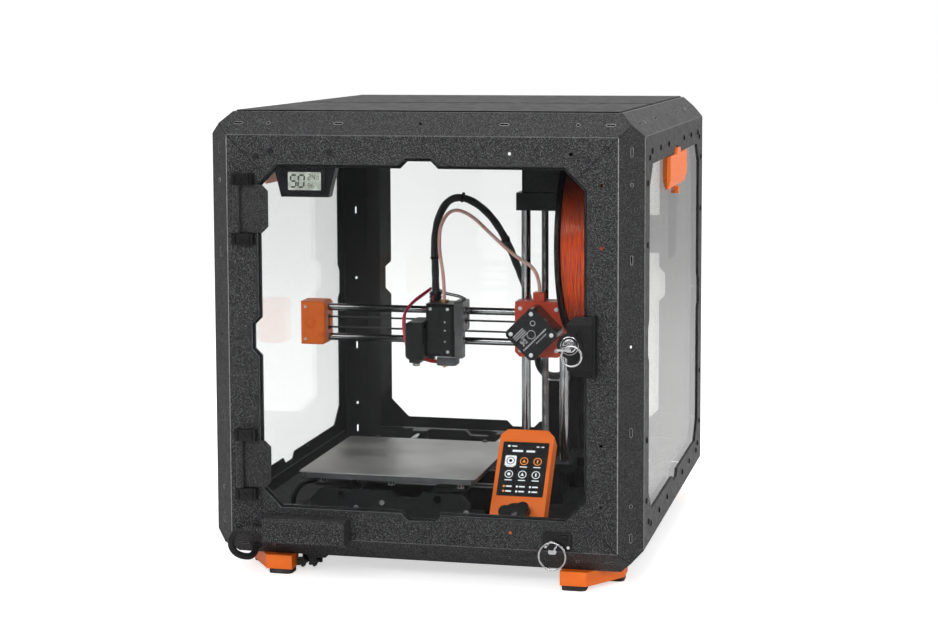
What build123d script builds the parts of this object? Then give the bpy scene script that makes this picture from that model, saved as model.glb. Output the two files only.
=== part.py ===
"""Enclosed desktop printer: a small cantilever fused-filament printer inside a
bent-steel cabinet with clear windows.  Millimetres, +Z up, the front faces -Y.
The origin is under the middle of the whole object, on the surface it stands on.
"""
import os
from math import cos, pi, radians, sin, sqrt, tan

from build123d import *

os.makedirs("parts", exist_ok=True)

# ------------------------------------------------------------- cabinet sizes
width = 430.0
depth = 490.0
height = 440.0
foot_height = 19.0
mid_y = 21.1               # the cabinet sits behind the origin, because the key stands out in front
fold = 22.0                # 45 degree strip along every edge
steel = 1.5
border_side = 52.0         # from the outside of the cabinet to a window, sideways
border_end = 50.5          # and up or down
corner_cut = 21.0
notch_half = 20.0          # half length of the notch in the middle of each window side
notch_depth = 7.0
pane = 3.0
fit_gap = 0.3

base_z = foot_height
top_z = base_z + height
mid_z = base_z + height / 2
front_y = mid_y - depth / 2
back_y = mid_y + depth / 2
half_w = width / 2

window_w = width - 2 * border_side
window_d = depth - 2 * border_side
window_h = height - 2 * border_end

# ------------------------------------------------------------- printer sizes
nozzle_x = -36.0
nozzle_y = mid_y
nozzle_z = base_z + 154.0
sheet_size = 184.0
sheet_x = -53.0
sheet_y = mid_y - 85.0
sheet_z = base_z + 73.0    # upper face of the print sheet
sheet_thick = 1.0
rod_y = nozzle_y + 20.0    # the two X rods lie one above the other
rod_low_z = base_z + 181.0
rod_high_z = base_z + 214.0
x_rod_r = 4.0
z_rod_r = 5.0
z_rods_y = rod_y + 20.0
z_rod_left = 46.0
z_rod_right = 88.0
screw_x = 67.0
screw_r = 4.0
bearing_gap = 0.05
end_left = -200.0          # orange end of the X axis
end_right = -172.0
block_left = 36.0          # left face of the orange block on the Z rods
reel_r = 100.0
reel_x0 = 103.0
reel_x1 = 169.0
reel_y = mid_y + 4.0
reel_z = base_z + 297.0


def front(y):
    """Sketch plane facing the front: sketch x is +X, sketch y is +Z."""
    return Plane.XZ.offset(-y)


def side(x):
    """Sketch plane facing right: sketch x is +Y, sketch y is +Z."""
    return Plane.YZ.offset(x)


def level(z):
    return Plane.XY.offset(z)


def window_outline(long, tall, grow=0.0):
    """Eight-sided window with an outward notch in the middle of each side."""
    a = long / 2 + grow
    b = tall / 2 + grow
    cut = corner_cut + grow * (2 - sqrt(2))
    half = notch_half + grow * (sqrt(2) - 1)
    inner = half - notch_depth
    quarter = [(a, -half), (a + notch_depth, -inner), (a + notch_depth, inner), (a, half),
               (a, b - cut), (a - cut, b),
               (half, b), (inner, b + notch_depth)]
    points = quarter + [(-x, y) for x, y in reversed(quarter)]
    lower = [(inner, -b - notch_depth), (half, -b), (a - cut, -b), (a, -b + cut)]
    points += [(-x, y) for x, y in reversed(lower)] + lower
    return points


# ------------------------------------------------------------- cabinet frame
slot_places = (82.0, 184.0)
eyelet_places = (0.0, 153.0)
hole_inset = 38.0
hole_near = 67.0
hole_far = 126.0
hole_r = 1.7


def frame_member(middle, toward_a, toward_b, long, border_a, border_b, reach_a, reach_b):
    """One edge of the cabinet: two flanges joined by the folded strip, mitred at both ends.

    middle is the middle of the sharp edge that the fold takes off.  Flange A reaches
    along toward_a and flange B along toward_b.  reach_a and reach_b are the full
    width of the cabinet in those directions.
    """
    along = toward_a.cross(toward_b)
    place = Plane(origin=middle, x_dir=along, z_dir=toward_b)
    inner = fold + steel * (sqrt(2) - 1)
    wide_a = border_a + corner_cut
    wide_b = border_b + corner_cut
    profile = [(wide_a, 0), (fold, 0), (0, fold), (0, wide_b), (steel, wide_b),
               (steel, inner), (inner, steel), (wide_a, steel)]
    section = Plane(origin=middle - along * (long / 2), x_dir=toward_a, z_dir=along)
    with BuildPart() as member:
        with BuildSketch(section):
            with BuildLine():
                Polyline(*profile, close=True)
            make_face()
        extrude(amount=long)
        # windows of the two faces that meet at this edge
        with BuildSketch(Plane(middle + toward_a * (reach_a / 2), x_dir=along, z_dir=toward_b)):
            with BuildLine():
                Polyline(*window_outline(long - 2 * ends(long), reach_a - 2 * border_a), close=True)
            make_face()
            with Locations(*[(x, hole_inset - reach_a / 2) for x in hole_row(long)]):
                Circle(hole_r)
        extrude(amount=steel, mode=Mode.SUBTRACT)
        with BuildSketch(Plane(middle + toward_b * (reach_b / 2), x_dir=along, z_dir=toward_a)):
            with BuildLine():
                Polyline(*window_outline(long - 2 * ends(long), reach_b - 2 * border_b), close=True)
            make_face()
            with Locations(*[(x, reach_b / 2 - hole_inset) for x in hole_row(long)]):
                Circle(hole_r)
        extrude(amount=steel, mode=Mode.SUBTRACT)
        # slots and eyelets in the folded strip
        strip_mid = middle + (toward_a + toward_b) * (fold / 2)
        strip = Plane(strip_mid, x_dir=along, z_dir=toward_a + toward_b)
        with BuildSketch(strip):
            with Locations(*[(s * p, 0) for p in slot_places for s in (-1, 1)]):
                SlotOverall(9.0, 2.4)
            with Locations(*[(s * p, 0) for p in eyelet_places for s in (-1, 1)]):
                Circle(hole_r)
        extrude(amount=4 * steel, both=True, mode=Mode.SUBTRACT)
        for end in (-1, 1):
            corner = middle + along * (end * long / 2)
            for inward in (toward_a, toward_b):
                keep_side = Plane(corner, z_dir=(along * end + inward).normalized())
                split(bisect_by=keep_side, keep=Keep.BOTTOM)
    return member.part


def hole_row(long):
    """Places of the screw holes along a flange, from its middle."""
    return [s * (long / 2 - near) for s in (-1, 1) for near in (hole_near, hole_far)]


def ends(long):
    """Border of a window along a member of this length."""
    return border_end if long == height else border_side


across = Vector(1, 0, 0)
rearward = Vector(0, 1, 0)
upward = Vector(0, 0, 1)
cabinet_mid = Vector(0, mid_y, mid_z)


def post(sx, sy):
    """Upright in the corner at side sx, front or back sy."""
    middle = cabinet_mid + across * (sx * half_w) + rearward * (sy * depth / 2)
    return frame_member(middle, across * -sx, rearward * -sy, height,
                        border_side, border_side, width, depth)


def cross_rail(sy, sz):
    """Rail along X, at the front or back sy, low or high sz."""
    middle = cabinet_mid + rearward * (sy * depth / 2) + upward * (sz * height / 2)
    return frame_member(middle, upward * -sz, rearward * -sy, width,
                        border_end, border_side, height, depth)


def side_rail(sx, sz):
    """Rail along Y, at side sx, low or high sz."""
    middle = cabinet_mid + across * (sx * half_w) + upward * (sz * height / 2)
    return frame_member(middle, upward * -sz, across * -sx, depth,
                        border_end, border_side, height, width)


def make_frame():
    members = {
        "front_posts": [post(-1, -1), post(1, -1)],
        "front_rails": [cross_rail(-1, 1), cross_rail(-1, -1)],
        "back_frame": [post(-1, 1), post(1, 1), cross_rail(1, 1), cross_rail(1, -1)],
        "side_rails": [side_rail(-1, 1), side_rail(1, 1), side_rail(-1, -1), side_rail(1, -1)],
    }
    for name, pieces in members.items():
        whole = Compound(label=name, children=pieces)
        export_step(whole, f"parts/{name}.step")


def box_at(x0, x1, y0, y1, z0, z1, mode=Mode.ADD):
    """Box between two corners, in the current part."""
    with BuildSketch(level(z0)) as base:
        with Locations(((x0 + x1) / 2, (y0 + y1) / 2)):
            Rectangle(x1 - x0, y1 - y0)
    return extrude(base.sketch, amount=z1 - z0, mode=mode)


def rod_between(start, finish, radius, mode=Mode.ADD):
    """Round bar from one point to another, in the current part."""
    start = Vector(*start)
    finish = Vector(*finish)
    with BuildSketch(Plane(start, z_dir=finish - start)) as section:
        Circle(radius)
    return extrude(section.sketch, amount=(finish - start).length, mode=mode)


def outline_plate(plane, points, thick):
    """Flat plate with this outline, in the current part."""
    with BuildSketch(plane) as outline:
        with BuildLine():
            Polyline(*points, close=True)
        make_face()
    return extrude(outline.sketch, amount=thick)


def save(piece, name):
    piece.label = name
    export_step(piece, f"parts/{name}.step")


# ------------------------------------------------------------- cabinet panels
pane_lap = 13.0
cover_thick = 1.2
cover_half_w = 190.0
cover_reach = 221.0
seam_y = mid_y - 18.0
seam_half = 4.0
strip_half = 14.0
floor_half_d = 218.0


def make_windows():
    """Clear panes behind the openings of both sides and the back."""
    with BuildPart() as windows:
        for x in (-half_w + steel + pane, half_w - steel):
            with BuildSketch(side(x)):
                with Locations((mid_y, mid_z)):
                    Rectangle(window_d + 2 * pane_lap, window_h + 2 * pane_lap)
            extrude(amount=-pane)
        with BuildSketch(front(back_y - steel)):
            with Locations((0, mid_z)):
                Rectangle(window_w + 2 * pane_lap, window_h + 2 * pane_lap)
        extrude(amount=pane)
    save(windows.part, "windows")


def make_top_covers():
    with BuildPart() as covers:
        box_at(-cover_half_w, cover_half_w, mid_y - cover_reach, seam_y - seam_half,
               top_z, top_z + cover_thick)
        box_at(-cover_half_w, cover_half_w, seam_y + seam_half, mid_y + cover_reach,
               top_z, top_z + cover_thick)
        strip_top = top_z - steel
        box_at(-cover_half_w + 2, cover_half_w - 2, seam_y - strip_half, seam_y + strip_half,
               strip_top - steel, strip_top)
    save(covers.part, "top_covers")


def make_floor_plate():
    with BuildPart() as floor:
        box_at(-cover_half_w, cover_half_w, mid_y - floor_half_d, mid_y + floor_half_d,
               base_z + steel, base_z + 2 * steel)
    save(floor.part, "floor_plate")


screw_head_r = 2.8
screw_head_h = 1.6
screw_key_r = 1.5
mitre_screw_side = 52.0
mitre_screw_end = 43.5


def head_places(long, tall):
    """Screw places on one cabinet face, measured from its middle."""
    places = []
    for sx in (-1, 1):
        for sy in (-1, 1):
            for near in (hole_near, hole_far):
                places.append((sx * (long / 2 - hole_inset), sy * (tall / 2 - near)))
                places.append((sx * (long / 2 - near), sy * (tall / 2 - hole_inset)))
            places.append((sx * (long / 2 - mitre_screw_side), sy * (tall / 2 - mitre_screw_end)))
    return places


def screw_heads(plane, places):
    """Button heads standing on a plane, each with a hexagon socket."""
    with BuildSketch(plane) as heads:
        with Locations(*places):
            Circle(screw_head_r)
    extrude(heads.sketch, amount=screw_head_h)
    with BuildSketch(plane.offset(screw_head_h)) as sockets:
        with Locations(*places):
            RegularPolygon(screw_key_r, 6)
    extrude(sockets.sketch, amount=-screw_head_h / 2, mode=Mode.SUBTRACT)


handle_screw = 60.0
knob_below = 10.0


def make_frame_screws():
    """Every cabinet screw; on the front only the corners and the upper left have one."""
    front_places = [(x, z) for x, z in head_places(width, height)
                    if abs(x) == half_w - mitre_screw_side or (x < 0 and z == height / 2 - hole_inset)]
    side_places = head_places(depth, height)
    side_places += [(s * handle_screw, e * (height / 2 - hole_inset)) for s in (-1, 1) for e in (-1, 1)]
    middle_front = Plane((0, front_y, mid_z), x_dir=(1, 0, 0), z_dir=(0, -1, 0))
    middle_back = Plane((0, back_y, mid_z), x_dir=(-1, 0, 0), z_dir=(0, 1, 0))
    middle_right = Plane((half_w, mid_y, mid_z), x_dir=(0, 1, 0), z_dir=(1, 0, 0))
    middle_left = Plane((-half_w, mid_y, mid_z), x_dir=(0, -1, 0), z_dir=(-1, 0, 0))
    with BuildPart() as screws:
        screw_heads(middle_front, front_places)
        screw_heads(middle_back, head_places(width, height))
        screw_heads(middle_right, side_places)
        screw_heads(middle_left, side_places)
    save(screws.part, "frame_screws")


handle_half = 65.0
handle_low = mid_z + 136.0
handle_top = mid_z + window_h / 2 - fit_gap
handle_proud = 2.5
grip_h = 9.0


def make_side_handles():
    """Orange grips in the upper notches of the side windows, with a knob under each."""
    tab = notch_half - notch_depth
    with BuildPart() as handles:
        for s in (-1, 1):
            inner = s * (half_w - steel)
            thick = s * (steel + handle_proud)
            outline = [(-handle_half, handle_low), (handle_half, handle_low), (handle_half, handle_top),
                       (tab + 4, handle_top), (tab - 2, handle_top + 6), (2 - tab, handle_top + 6),
                       (-tab - 4, handle_top), (-handle_half, handle_top)]
            points = [(y + mid_y, z) for y, z in outline]
            outline_plate(side(inner), points, thick)
            # finger bevel along the lower edge
            outer = inner + thick
            bevel = [(outer, handle_low), (outer, handle_low + grip_h),
                     (outer - s * handle_proud, handle_low)]
            with BuildSketch(front(mid_y - handle_half)):
                with BuildLine():
                    Polyline(*bevel, close=True)
                make_face()
            extrude(amount=-2 * handle_half, mode=Mode.SUBTRACT)
            rod_between((inner, mid_y, handle_low - knob_below / 2),
                        (inner + thick, mid_y, handle_low - knob_below / 2), knob_below / 2 - 1)
    save(handles.part, "side_handles")


# ------------------------------------------------------------- door
door_gap = 0.5
door_thick = 4.0
door_front = front_y - fit_gap
seal_lap = 3.0
seal_reach = 6.0
seal_back = front_y + 7.0


def opening_sheet(y, grow, thick):
    """Plate with the outline of the front opening, growing toward the front from y."""
    return outline_plate(Plane((0, y, mid_z), x_dir=(1, 0, 0), z_dir=(0, -1, 0)),
                         window_outline(window_w, window_h, grow), thick)


def make_door_seal():
    """Black frame behind the opening that the closed door rests against."""
    face = Plane((0, seal_back, mid_z), x_dir=(1, 0, 0), z_dir=(0, -1, 0))
    with BuildPart() as seal:
        with BuildSketch(face):
            with BuildLine():
                Polyline(*window_outline(window_w, window_h, seal_reach), close=True)
            make_face()
            with BuildLine():
                Polyline(*window_outline(window_w, window_h, -seal_lap), close=True)
            make_face(mode=Mode.SUBTRACT)
        extrude(amount=seal_back - front_y - steel)
        with BuildSketch(face.offset(seal_back - door_front - door_thick - fit_gap)):
            with BuildLine():
                Polyline(*window_outline(window_w, window_h, fit_gap), close=True)
            make_face()
        extrude(amount=door_thick, mode=Mode.SUBTRACT)
    save(seal.part, "door_seal")


# hinges: a leaf on the door turns on pins held by a block above and below it
hinge_x = -181.5
hinge_y = front_y - 4.6
hinge_offset = 126.0
barrel_r = 4.0
pin_r = 1.6
leaf_half = 23.4
leaf_right = -150.5
leaf_thick = 2.0
leaf_cut = 6.0
block_h = 11.0
block_depth = 9.0
block_x0 = -185.5
block_x1 = -164.5
leaf_gap = 0.4
pin_reach = 9.0
lock_x = 149.8
lock_z = base_z + 223.5
lock_r = 6.5
lock_hole_r = lock_r + bearing_gap


def make_door_panel():
    with BuildPart() as panel:
        opening_sheet(door_front + door_thick, -door_gap, door_thick)
        rod_between((lock_x, door_front - 1, lock_z), (lock_x, door_front + door_thick + 1, lock_z),
                    lock_hole_r + 1, mode=Mode.SUBTRACT)
    save(panel.part, "door_panel")


def make_hinge_leaves():
    """Leaf plates with their barrels, and two screws each into the door."""
    with BuildPart() as leaves:
        for centre in (mid_z + hinge_offset, mid_z - hinge_offset):
            low = centre - leaf_half
            high = centre + leaf_half
            plate = [(hinge_x, low), (leaf_right - leaf_cut, low), (leaf_right, low + leaf_cut),
                     (leaf_right, high - leaf_cut), (leaf_right - leaf_cut, high), (hinge_x, high)]
            outline_plate(front(door_front), plate, leaf_thick)
            with BuildSketch(level(low)):
                with Locations((hinge_x, hinge_y)):
                    Circle(barrel_r)
            extrude(amount=2 * leaf_half)
            with BuildSketch(level(low)):
                with Locations((hinge_x, hinge_y)):
                    Circle(pin_r + bearing_gap)
            extrude(amount=2 * leaf_half, mode=Mode.SUBTRACT)
            screw_heads(front(door_front - leaf_thick),
                        [(leaf_right - 6.0, centre + s * 12.0) for s in (-1, 1)])
    save(leaves.part, "hinge_leaves")


def make_hinge_blocks():
    """Blocks on the cabinet that carry the hinge pins."""
    with BuildPart() as blocks:
        for centre in (mid_z + hinge_offset, mid_z - hinge_offset):
            for s in (-1, 1):
                near = centre + s * (leaf_half + leaf_gap)
                far = near + s * block_h
                low = min(near, far)
                box_at(block_x0, block_x1, front_y - block_depth, front_y, low, low + block_h)
                rod_between((hinge_x, hinge_y, near), (hinge_x, hinge_y, near - s * pin_reach), pin_r)
                screw_heads(front(front_y - block_depth), [(block_x1 - 7.0, low + block_h / 2),
                                                           (block_x1 - 13.0, low + block_h / 2)])
    save(blocks.part, "hinge_blocks")


# ------------------------------------------------------------- lock
housing_x0 = 147.0
housing_x1 = 171.0
housing_low = base_z + 200.0
housing_high = base_z + 243.0
housing_deep = 14.0
boss_r = 12.0
rib_thick = 2.5
rib_low = base_z + 193.0
rib_high = base_z + 251.0
bezel_deep = 2.0
cam_y = seal_back + 1.5
cam_thick = 2.0
cam_long = 27.0
cam_half = 6.0
key_w = 13.0
key_thick = 2.0
key_reach = 27.0
ring_wire = 1.0
key_ring_r = 9.4
key_strip = 2.4


def make_lock_housing():
    """Black housing screwed to the door over the edge of the opening."""
    face_y = door_front - housing_deep
    with BuildPart() as housing:
        profile = [(housing_x0, housing_low), (housing_x1, housing_low), (housing_x1, housing_high),
                   (housing_x1, housing_high + 7), (housing_x0 + 6, housing_high + 7),
                   (housing_x0, housing_high + 1)]
        outline_plate(front(door_front), profile, housing_deep)
        # sloped top
        slope = [(face_y - 1, housing_high - 1), (face_y - 1, housing_high + 8),
                 (face_y + 8, housing_high + 8)]
        with BuildSketch(side(housing_x0 - 1)):
            with BuildLine():
                Polyline(*slope, close=True)
            make_face()
        extrude(amount=housing_x1 - housing_x0 + 2, mode=Mode.SUBTRACT)
        rod_between((lock_x, door_front, lock_z), (lock_x, face_y - bezel_deep, lock_z), boss_r)
        box_at(housing_x1, housing_x1 + rib_thick, face_y + 1, door_front, rib_low, rib_high)
        # lip under the housing
        lip = [(face_y + 1, housing_low), (door_front, housing_low),
               (door_front, rib_low), (face_y + 7, rib_low)]
        with BuildSketch(side(housing_x0 + 2)):
            with BuildLine():
                Polyline(*lip, close=True)
            make_face()
        extrude(amount=housing_x1 - housing_x0 - 2)
        rod_between((lock_x, door_front, lock_z), (lock_x, face_y - bezel_deep, lock_z), lock_hole_r,
                    mode=Mode.SUBTRACT)
    save(housing.part, "lock_housing")


def make_lock_plug():
    """Turning plug with its cam behind the door and the key in its slot."""
    plug_front = door_front - housing_deep - bezel_deep - 0.5
    key_end = plug_front - key_reach
    strip_x = lock_x + key_w / 2 - key_strip / 2
    with BuildPart() as plug:
        rod_between((lock_x, plug_front, lock_z), (lock_x, cam_y + cam_thick, lock_z), lock_r)
        box_at(lock_x - cam_half, lock_x + cam_half, cam_y, cam_y + cam_thick,
               lock_z - cam_long, lock_z)
        box_at(lock_x - key_w / 2, lock_x + key_w / 2, key_end, plug_front - 8,
               lock_z - key_thick / 2, lock_z + key_thick / 2)
        box_at(lock_x - key_w / 4, lock_x + key_w / 4, plug_front - 8, plug_front,
               lock_z - key_thick / 2, lock_z + key_thick / 2)
        # long hole in the bow, leaving a strip for the ring
        box_at(lock_x - 4.8, strip_x - key_strip / 2, key_end + 3, key_end + 13,
               lock_z - key_thick, lock_z + key_thick, mode=Mode.SUBTRACT)
    save(plug.part, "lock_plug")


def make_ring(name, centre, radius, wire):
    """Split ring lying in a plane that faces the front."""
    with BuildPart() as ring:
        with BuildSketch(Plane(centre, x_dir=(1, 0, 0), z_dir=(0, 0, 1))):
            with Locations((radius, 0)):
                Circle(wire)
        revolve(axis=Axis(centre, (0, 1, 0)))
    save(ring.part, name)


key_ring_x = lock_x + key_w / 2 - key_strip / 2
key_ring_y = door_front - housing_deep - bezel_deep - 0.5 - key_reach + 8
key_ring_z = lock_z + 2.8 - key_ring_r

pull_x = 131.0
pull_pin_z = base_z + 29.0
pull_pin_r = 1.6
pull_ring_r = 13.0
pull_y = front_y - 5.5
plate_low = base_z + 23.6
plate_high = base_z + 41.5


def make_latch_plate():
    """Black plate low on the front with a steel pin that a pull ring hangs from."""
    with BuildPart() as plate:
        with BuildSketch(front(front_y)):
            with Locations((135.0, (plate_low + plate_high) / 2)):
                RectangleRounded(28.0, plate_high - plate_low, 2.0)
        extrude(amount=2.0)
        rod_between((pull_x, front_y - 2, pull_pin_z), (pull_x, front_y - 9, pull_pin_z), pull_pin_r)
        rod_between((pull_x, front_y - 9, pull_pin_z), (pull_x, front_y - 10.5, pull_pin_z), 2 * pull_pin_r)
        rod_between((pull_x + 12, front_y - 2, pull_pin_z + 4),
                    (pull_x + 12, front_y - 4, pull_pin_z + 4), 2.2)
    save(plate.part, "latch_plate")


# ------------------------------------------------------------- things on the cabinet
gauge_x = -115.5
gauge_w = 43.0
gauge_low = base_z + 359.5
gauge_high = base_z + 386.5
gauge_y = seal_back


def make_hygrometer():
    """Temperature and humidity gauge in a holder that hangs from the upper edge."""
    window_top = mid_z + window_h / 2
    with BuildPart() as gauge:
        holder = [(gauge_x - 32, window_top + 8), (gauge_x - 32, window_top), (gauge_x - 24, gauge_low - 2),
                  (gauge_x + 24, gauge_low - 2), (gauge_x + 32, window_top), (gauge_x + 32, window_top + 8)]
        outline_plate(front(gauge_y + 12), holder, 12.0)
        with BuildSketch(front(gauge_y)):
            with Locations((gauge_x, (gauge_low + gauge_high) / 2)):
                RectangleRounded(gauge_w, gauge_high - gauge_low, 3.0)
        extrude(amount=1.5)
        with BuildSketch(front(gauge_y - 1.5)):
            with Locations((gauge_x, (gauge_low + gauge_high) / 2)):
                RectangleRounded(34.0, 18.0, 1.0)
        extrude(amount=-1.0, mode=Mode.SUBTRACT)
    save(gauge.part, "hygrometer")


plug_box_x0 = -155.0
plug_box_x1 = -71.0
plug_box_low = base_z + 20.5
plug_box_high = base_z + 44.0
plug_box_deep = 20.0
cable_r = 3.4
cable_y = front_y - 10.0
cable_z = base_z + 29.5
relief_long = 21.0
grommet_x = -172.0
grommet_thick = 2.0
inward = Vector(0, 1, 1).normalized()
mouth = Vector(grommet_x, front_y + 13.5, base_z + fold - 13.5) - inward * grommet_thick


def make_connector_box():
    """Quick-release power connector on the front, its strain relief and the cable clip below."""
    with BuildPart() as box:
        box_at(plug_box_x0, plug_box_x1, front_y - plug_box_deep, front_y, plug_box_low, plug_box_high)
        upper = box.edges().filter_by(Axis.X).group_by(Axis.Z)[-1].group_by(Axis.Y)[0]
        chamfer(upper, 3.0)
        uprights = box.edges().filter_by(Axis.Z).group_by(Axis.Y)[0]
        fillet(uprights, 2.0)
        # raised picture of a plug and a socket
        face = front(front_y - plug_box_deep)
        mark_z = plug_box_high - 9.0
        for s in (-1, 1):
            with BuildSketch(face):
                with Locations(((plug_box_x0 + plug_box_x1) / 2 + s * 7.0, mark_z)):
                    Circle(5.0)
                    Circle(3.9, mode=Mode.SUBTRACT)
                    Circle(1.2)
                with Locations(*[((plug_box_x0 + plug_box_x1) / 2 + s * 17.0, mark_z + e * 2.6)
                                 for e in (-1, 1)]):
                    Rectangle(11.0, 1.1)
            extrude(amount=0.5)
        rod_between((plug_box_x0, cable_y, cable_z), (plug_box_x0 - relief_long, cable_y, cable_z),
                    cable_r + 1.4)
        for i in range(5):
            x = plug_box_x0 - 5.0 - i * 3.2
            rod_between((x, cable_y, cable_z), (x - 1.4, cable_y, cable_z), cable_r + 2.2)
        rod_between((plug_box_x0, cable_y, cable_z), (plug_box_x0 - relief_long - 1, cable_y, cable_z),
                    cable_r, mode=Mode.SUBTRACT)
        # clip with two lobed knobs under the front edge
        clip_y = front_y + fold + 8.0
        box_at(-122.0, -104.0, clip_y - 6, clip_y + 12, base_z - 3.5, base_z)
        for x, z in ((-129.0, base_z - 9.0), (-117.0, base_z - 8.0)):
            rod_between((x, clip_y, z), (x, clip_y + 6, z), 3.2)
            with BuildSketch(front(clip_y)):
                with Locations((x, z)):
                    with PolarLocations(3.4, 5):
                        Circle(2.0)
                    Circle(3.4)
            extrude(amount=5.0)
        box_at(-131.0, -111.0, clip_y + 4, clip_y + 8, base_z - 11.0, base_z)
        # grommet in the folded strip where the cable goes in
        rod_between(mouth, mouth + inward * grommet_thick, 5.5)
    save(box.part, "connector_box")


def corner_radii(points, share=0.45):
    """As large an arc at every corner as its two runs allow."""
    radii = []
    for before, here, after in zip(points, points[1:], points[2:]):
        run_in = Vector(*here) - Vector(*before)
        run_out = Vector(*after) - Vector(*here)
        half_turn = radians(run_in.get_angle(run_out)) / 2
        radii.append(share * min(run_in.length, run_out.length) / tan(half_turn))
    return radii


def tube_along(points, radius):
    """Tube on straight runs joined by tangent arcs."""
    radii = corner_radii(points)
    with BuildPart() as tube:
        with BuildLine() as path:
            FilletPolyline(*points, radius=radii)
        start = Vector(*points[0])
        with BuildSketch(Plane(start, z_dir=Vector(*points[1]) - start)):
            Circle(radius)
        sweep(path=path.wires()[0])
    long = path.wires()[0].length
    want = pi * radius ** 2 * long
    print(f"tube {long:.0f} mm long, volume ratio {tube.part.volume / want:.4f}, "
          f"tightest arc {min(radii):.1f}")
    return tube.part


power_route = [
    (plug_box_x0, cable_y, cable_z), (-183.0, cable_y, cable_z), (-191.0, cable_y, base_z + 20.0),
    (-190.0, cable_y + 1.5, base_z + 8.0), (-182.0, cable_y + 6.0, base_z + 1.0),
    tuple(mouth - inward * 10.0), tuple(mouth)]


def make_power_cable():
    save(tube_along(power_route, cable_r), "power_cable")


pad_h = 5.0
bracket_low = pad_h


def foot_corner(sx, sy):
    """Middle of the two pads of one foot, front or back pad first."""
    near = (sx * 148.0, mid_y + sy * (depth / 2 - 23.0))
    far = (sx * 178.0, mid_y + sy * (depth / 2 - 66.0))
    return near, far


def make_feet():
    """Orange corner feet with two rubber pads each."""
    corners = [(sx, sy) for sx in (-1, 1) for sy in (-1, 1)]
    with BuildPart() as brackets:
        for sx, sy in corners:
            (x0, y0), (x1, y1) = foot_corner(sx, sy)
            outline = [(x0 - sx * 13, y0 + sy * 11), (x0 + sx * 13, y0 + sy * 11),
                       (x1 + sx * 13, y1 + sy * 11), (x1 + sx * 13, y1 - sy * 11),
                       (x1 - sx * 13, y1 - sy * 11), (x0 - sx * 13, y0 - sy * 11)]
            outline_plate(level(bracket_low), outline, base_z - bracket_low)
    save(brackets.part, "foot_brackets")
    with BuildPart() as pads:
        for sx, sy in corners:
            for x, y in foot_corner(sx, sy):
                with BuildSketch(level(0)):
                    with Locations((x, y)):
                        RectangleRounded(24.0, 20.0, 5.0)
                extrude(amount=pad_h)
    save(pads.part, "foot_pads")


# ------------------------------------------------------------- printer base
y_rod_r = 4.0
y_rod_z = base_z + 48.0
y_rod_half = 50.0
base_half = 158.0
end_thick = 8.0
end_half_w = 83.0
end_low = base_z + 8.0
end_high = base_z + 53.5
beam_low = base_z + 12.0
beam_high = base_z + 36.0
beam_x0 = -132.0
beam_x1 = 42.0
block_y0 = z_rods_y - 16.0
tower_x0 = 80.0
tower_x1 = 110.0
tower_y0 = nozzle_y + 112.0
tower_y1 = tower_y0 + 32.0
tower_low = base_z + 2 * steel
tower_high = base_z + 374.0
z_low = base_z + 48.0
z_high = base_z + 324.0


def t_slot_bar(plane, wide, deep, long):
    """Aluminium profile with one T slot in each wide face and two holes."""
    with BuildSketch(plane) as section:
        RectangleRounded(wide, deep, 1.5)
        for s in (-1, 1):
            with Locations((0, s * (deep / 2 - 1.0))):
                Rectangle(8.0, 2.0, mode=Mode.SUBTRACT)
            with Locations((0, s * (deep / 2 - 3.5))):
                Rectangle(13.0, 3.0, mode=Mode.SUBTRACT)
        Circle(2.5, mode=Mode.SUBTRACT)
    return extrude(section.sketch, amount=long)


def make_base_beams():
    """Two beams across the base, their feet and the foot of the tower."""
    with BuildPart() as beams:
        for y in (nozzle_y - 42.0, nozzle_y + 42.0):
            middle = (beam_x0, y, (beam_low + beam_high) / 2)
            t_slot_bar(Plane(middle, x_dir=(0, 1, 0), z_dir=(1, 0, 0)), 24.0, 24.0, beam_x1 - beam_x0)
            for x in (beam_x0 + 16, beam_x1 - 16):
                rod_between((x, y, base_z + 2 * steel), (x, y, beam_low), 9.0)
    save(beams.part, "base_beams")


def make_end_plates():
    """Front and rear plates that carry the Y rods, with honeycomb on the outside."""
    with BuildPart() as plates:
        for s in (-1, 1):
            inner = nozzle_y + s * base_half
            centre_x = sheet_x
            outline = [(-end_half_w, end_low), (end_half_w, end_low), (end_half_w, end_high - 10),
                       (end_half_w - 10, end_high), (34, end_high), (28, end_high - 6), (8, end_high - 6),
                       (2, end_high), (10 - end_half_w, end_high), (-end_half_w, end_high - 10)]
            points = [(x + centre_x, z) for x, z in outline]
            start = inner if s < 0 else inner + end_thick
            outline_plate(front(start), points, end_thick)
            outside = start - end_thick if s < 0 else start
            with BuildSketch(Plane((centre_x, outside, (end_low + end_high) / 2 - 3), x_dir=(1, 0, 0),
                                   z_dir=(0, s, 0))):
                with HexLocations(4.6, 15, 3):
                    RegularPolygon(3.6, 6)
            extrude(amount=-0.8, mode=Mode.SUBTRACT)
            # clamps that hold the ends of the rods
            for e in (-1, 1):
                x = centre_x + e * y_rod_half
                y0 = inner if s < 0 else inner - 14
                box_at(x - 9, x + 9, y0, y0 + 14, y_rod_z - 12, y_rod_z + 5.5)
                rod_between((x, inner - 20, y_rod_z), (x, inner + 20, y_rod_z), y_rod_r, mode=Mode.SUBTRACT)
            box_at(centre_x - 60, centre_x + 60,
                   inner + s * end_thick / 2 - 3, inner + s * end_thick / 2 + 3,
                   base_z + 2 * steel, end_low)
    save(plates.part, "end_plates")


def make_y_rods():
    with BuildPart() as rods:
        for e in (-1, 1):
            x = sheet_x + e * y_rod_half
            rod_between((x, nozzle_y - base_half - end_thick, y_rod_z),
                        (x, nozzle_y + base_half + end_thick, y_rod_z), y_rod_r)
    save(rods.part, "y_rods")


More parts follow.
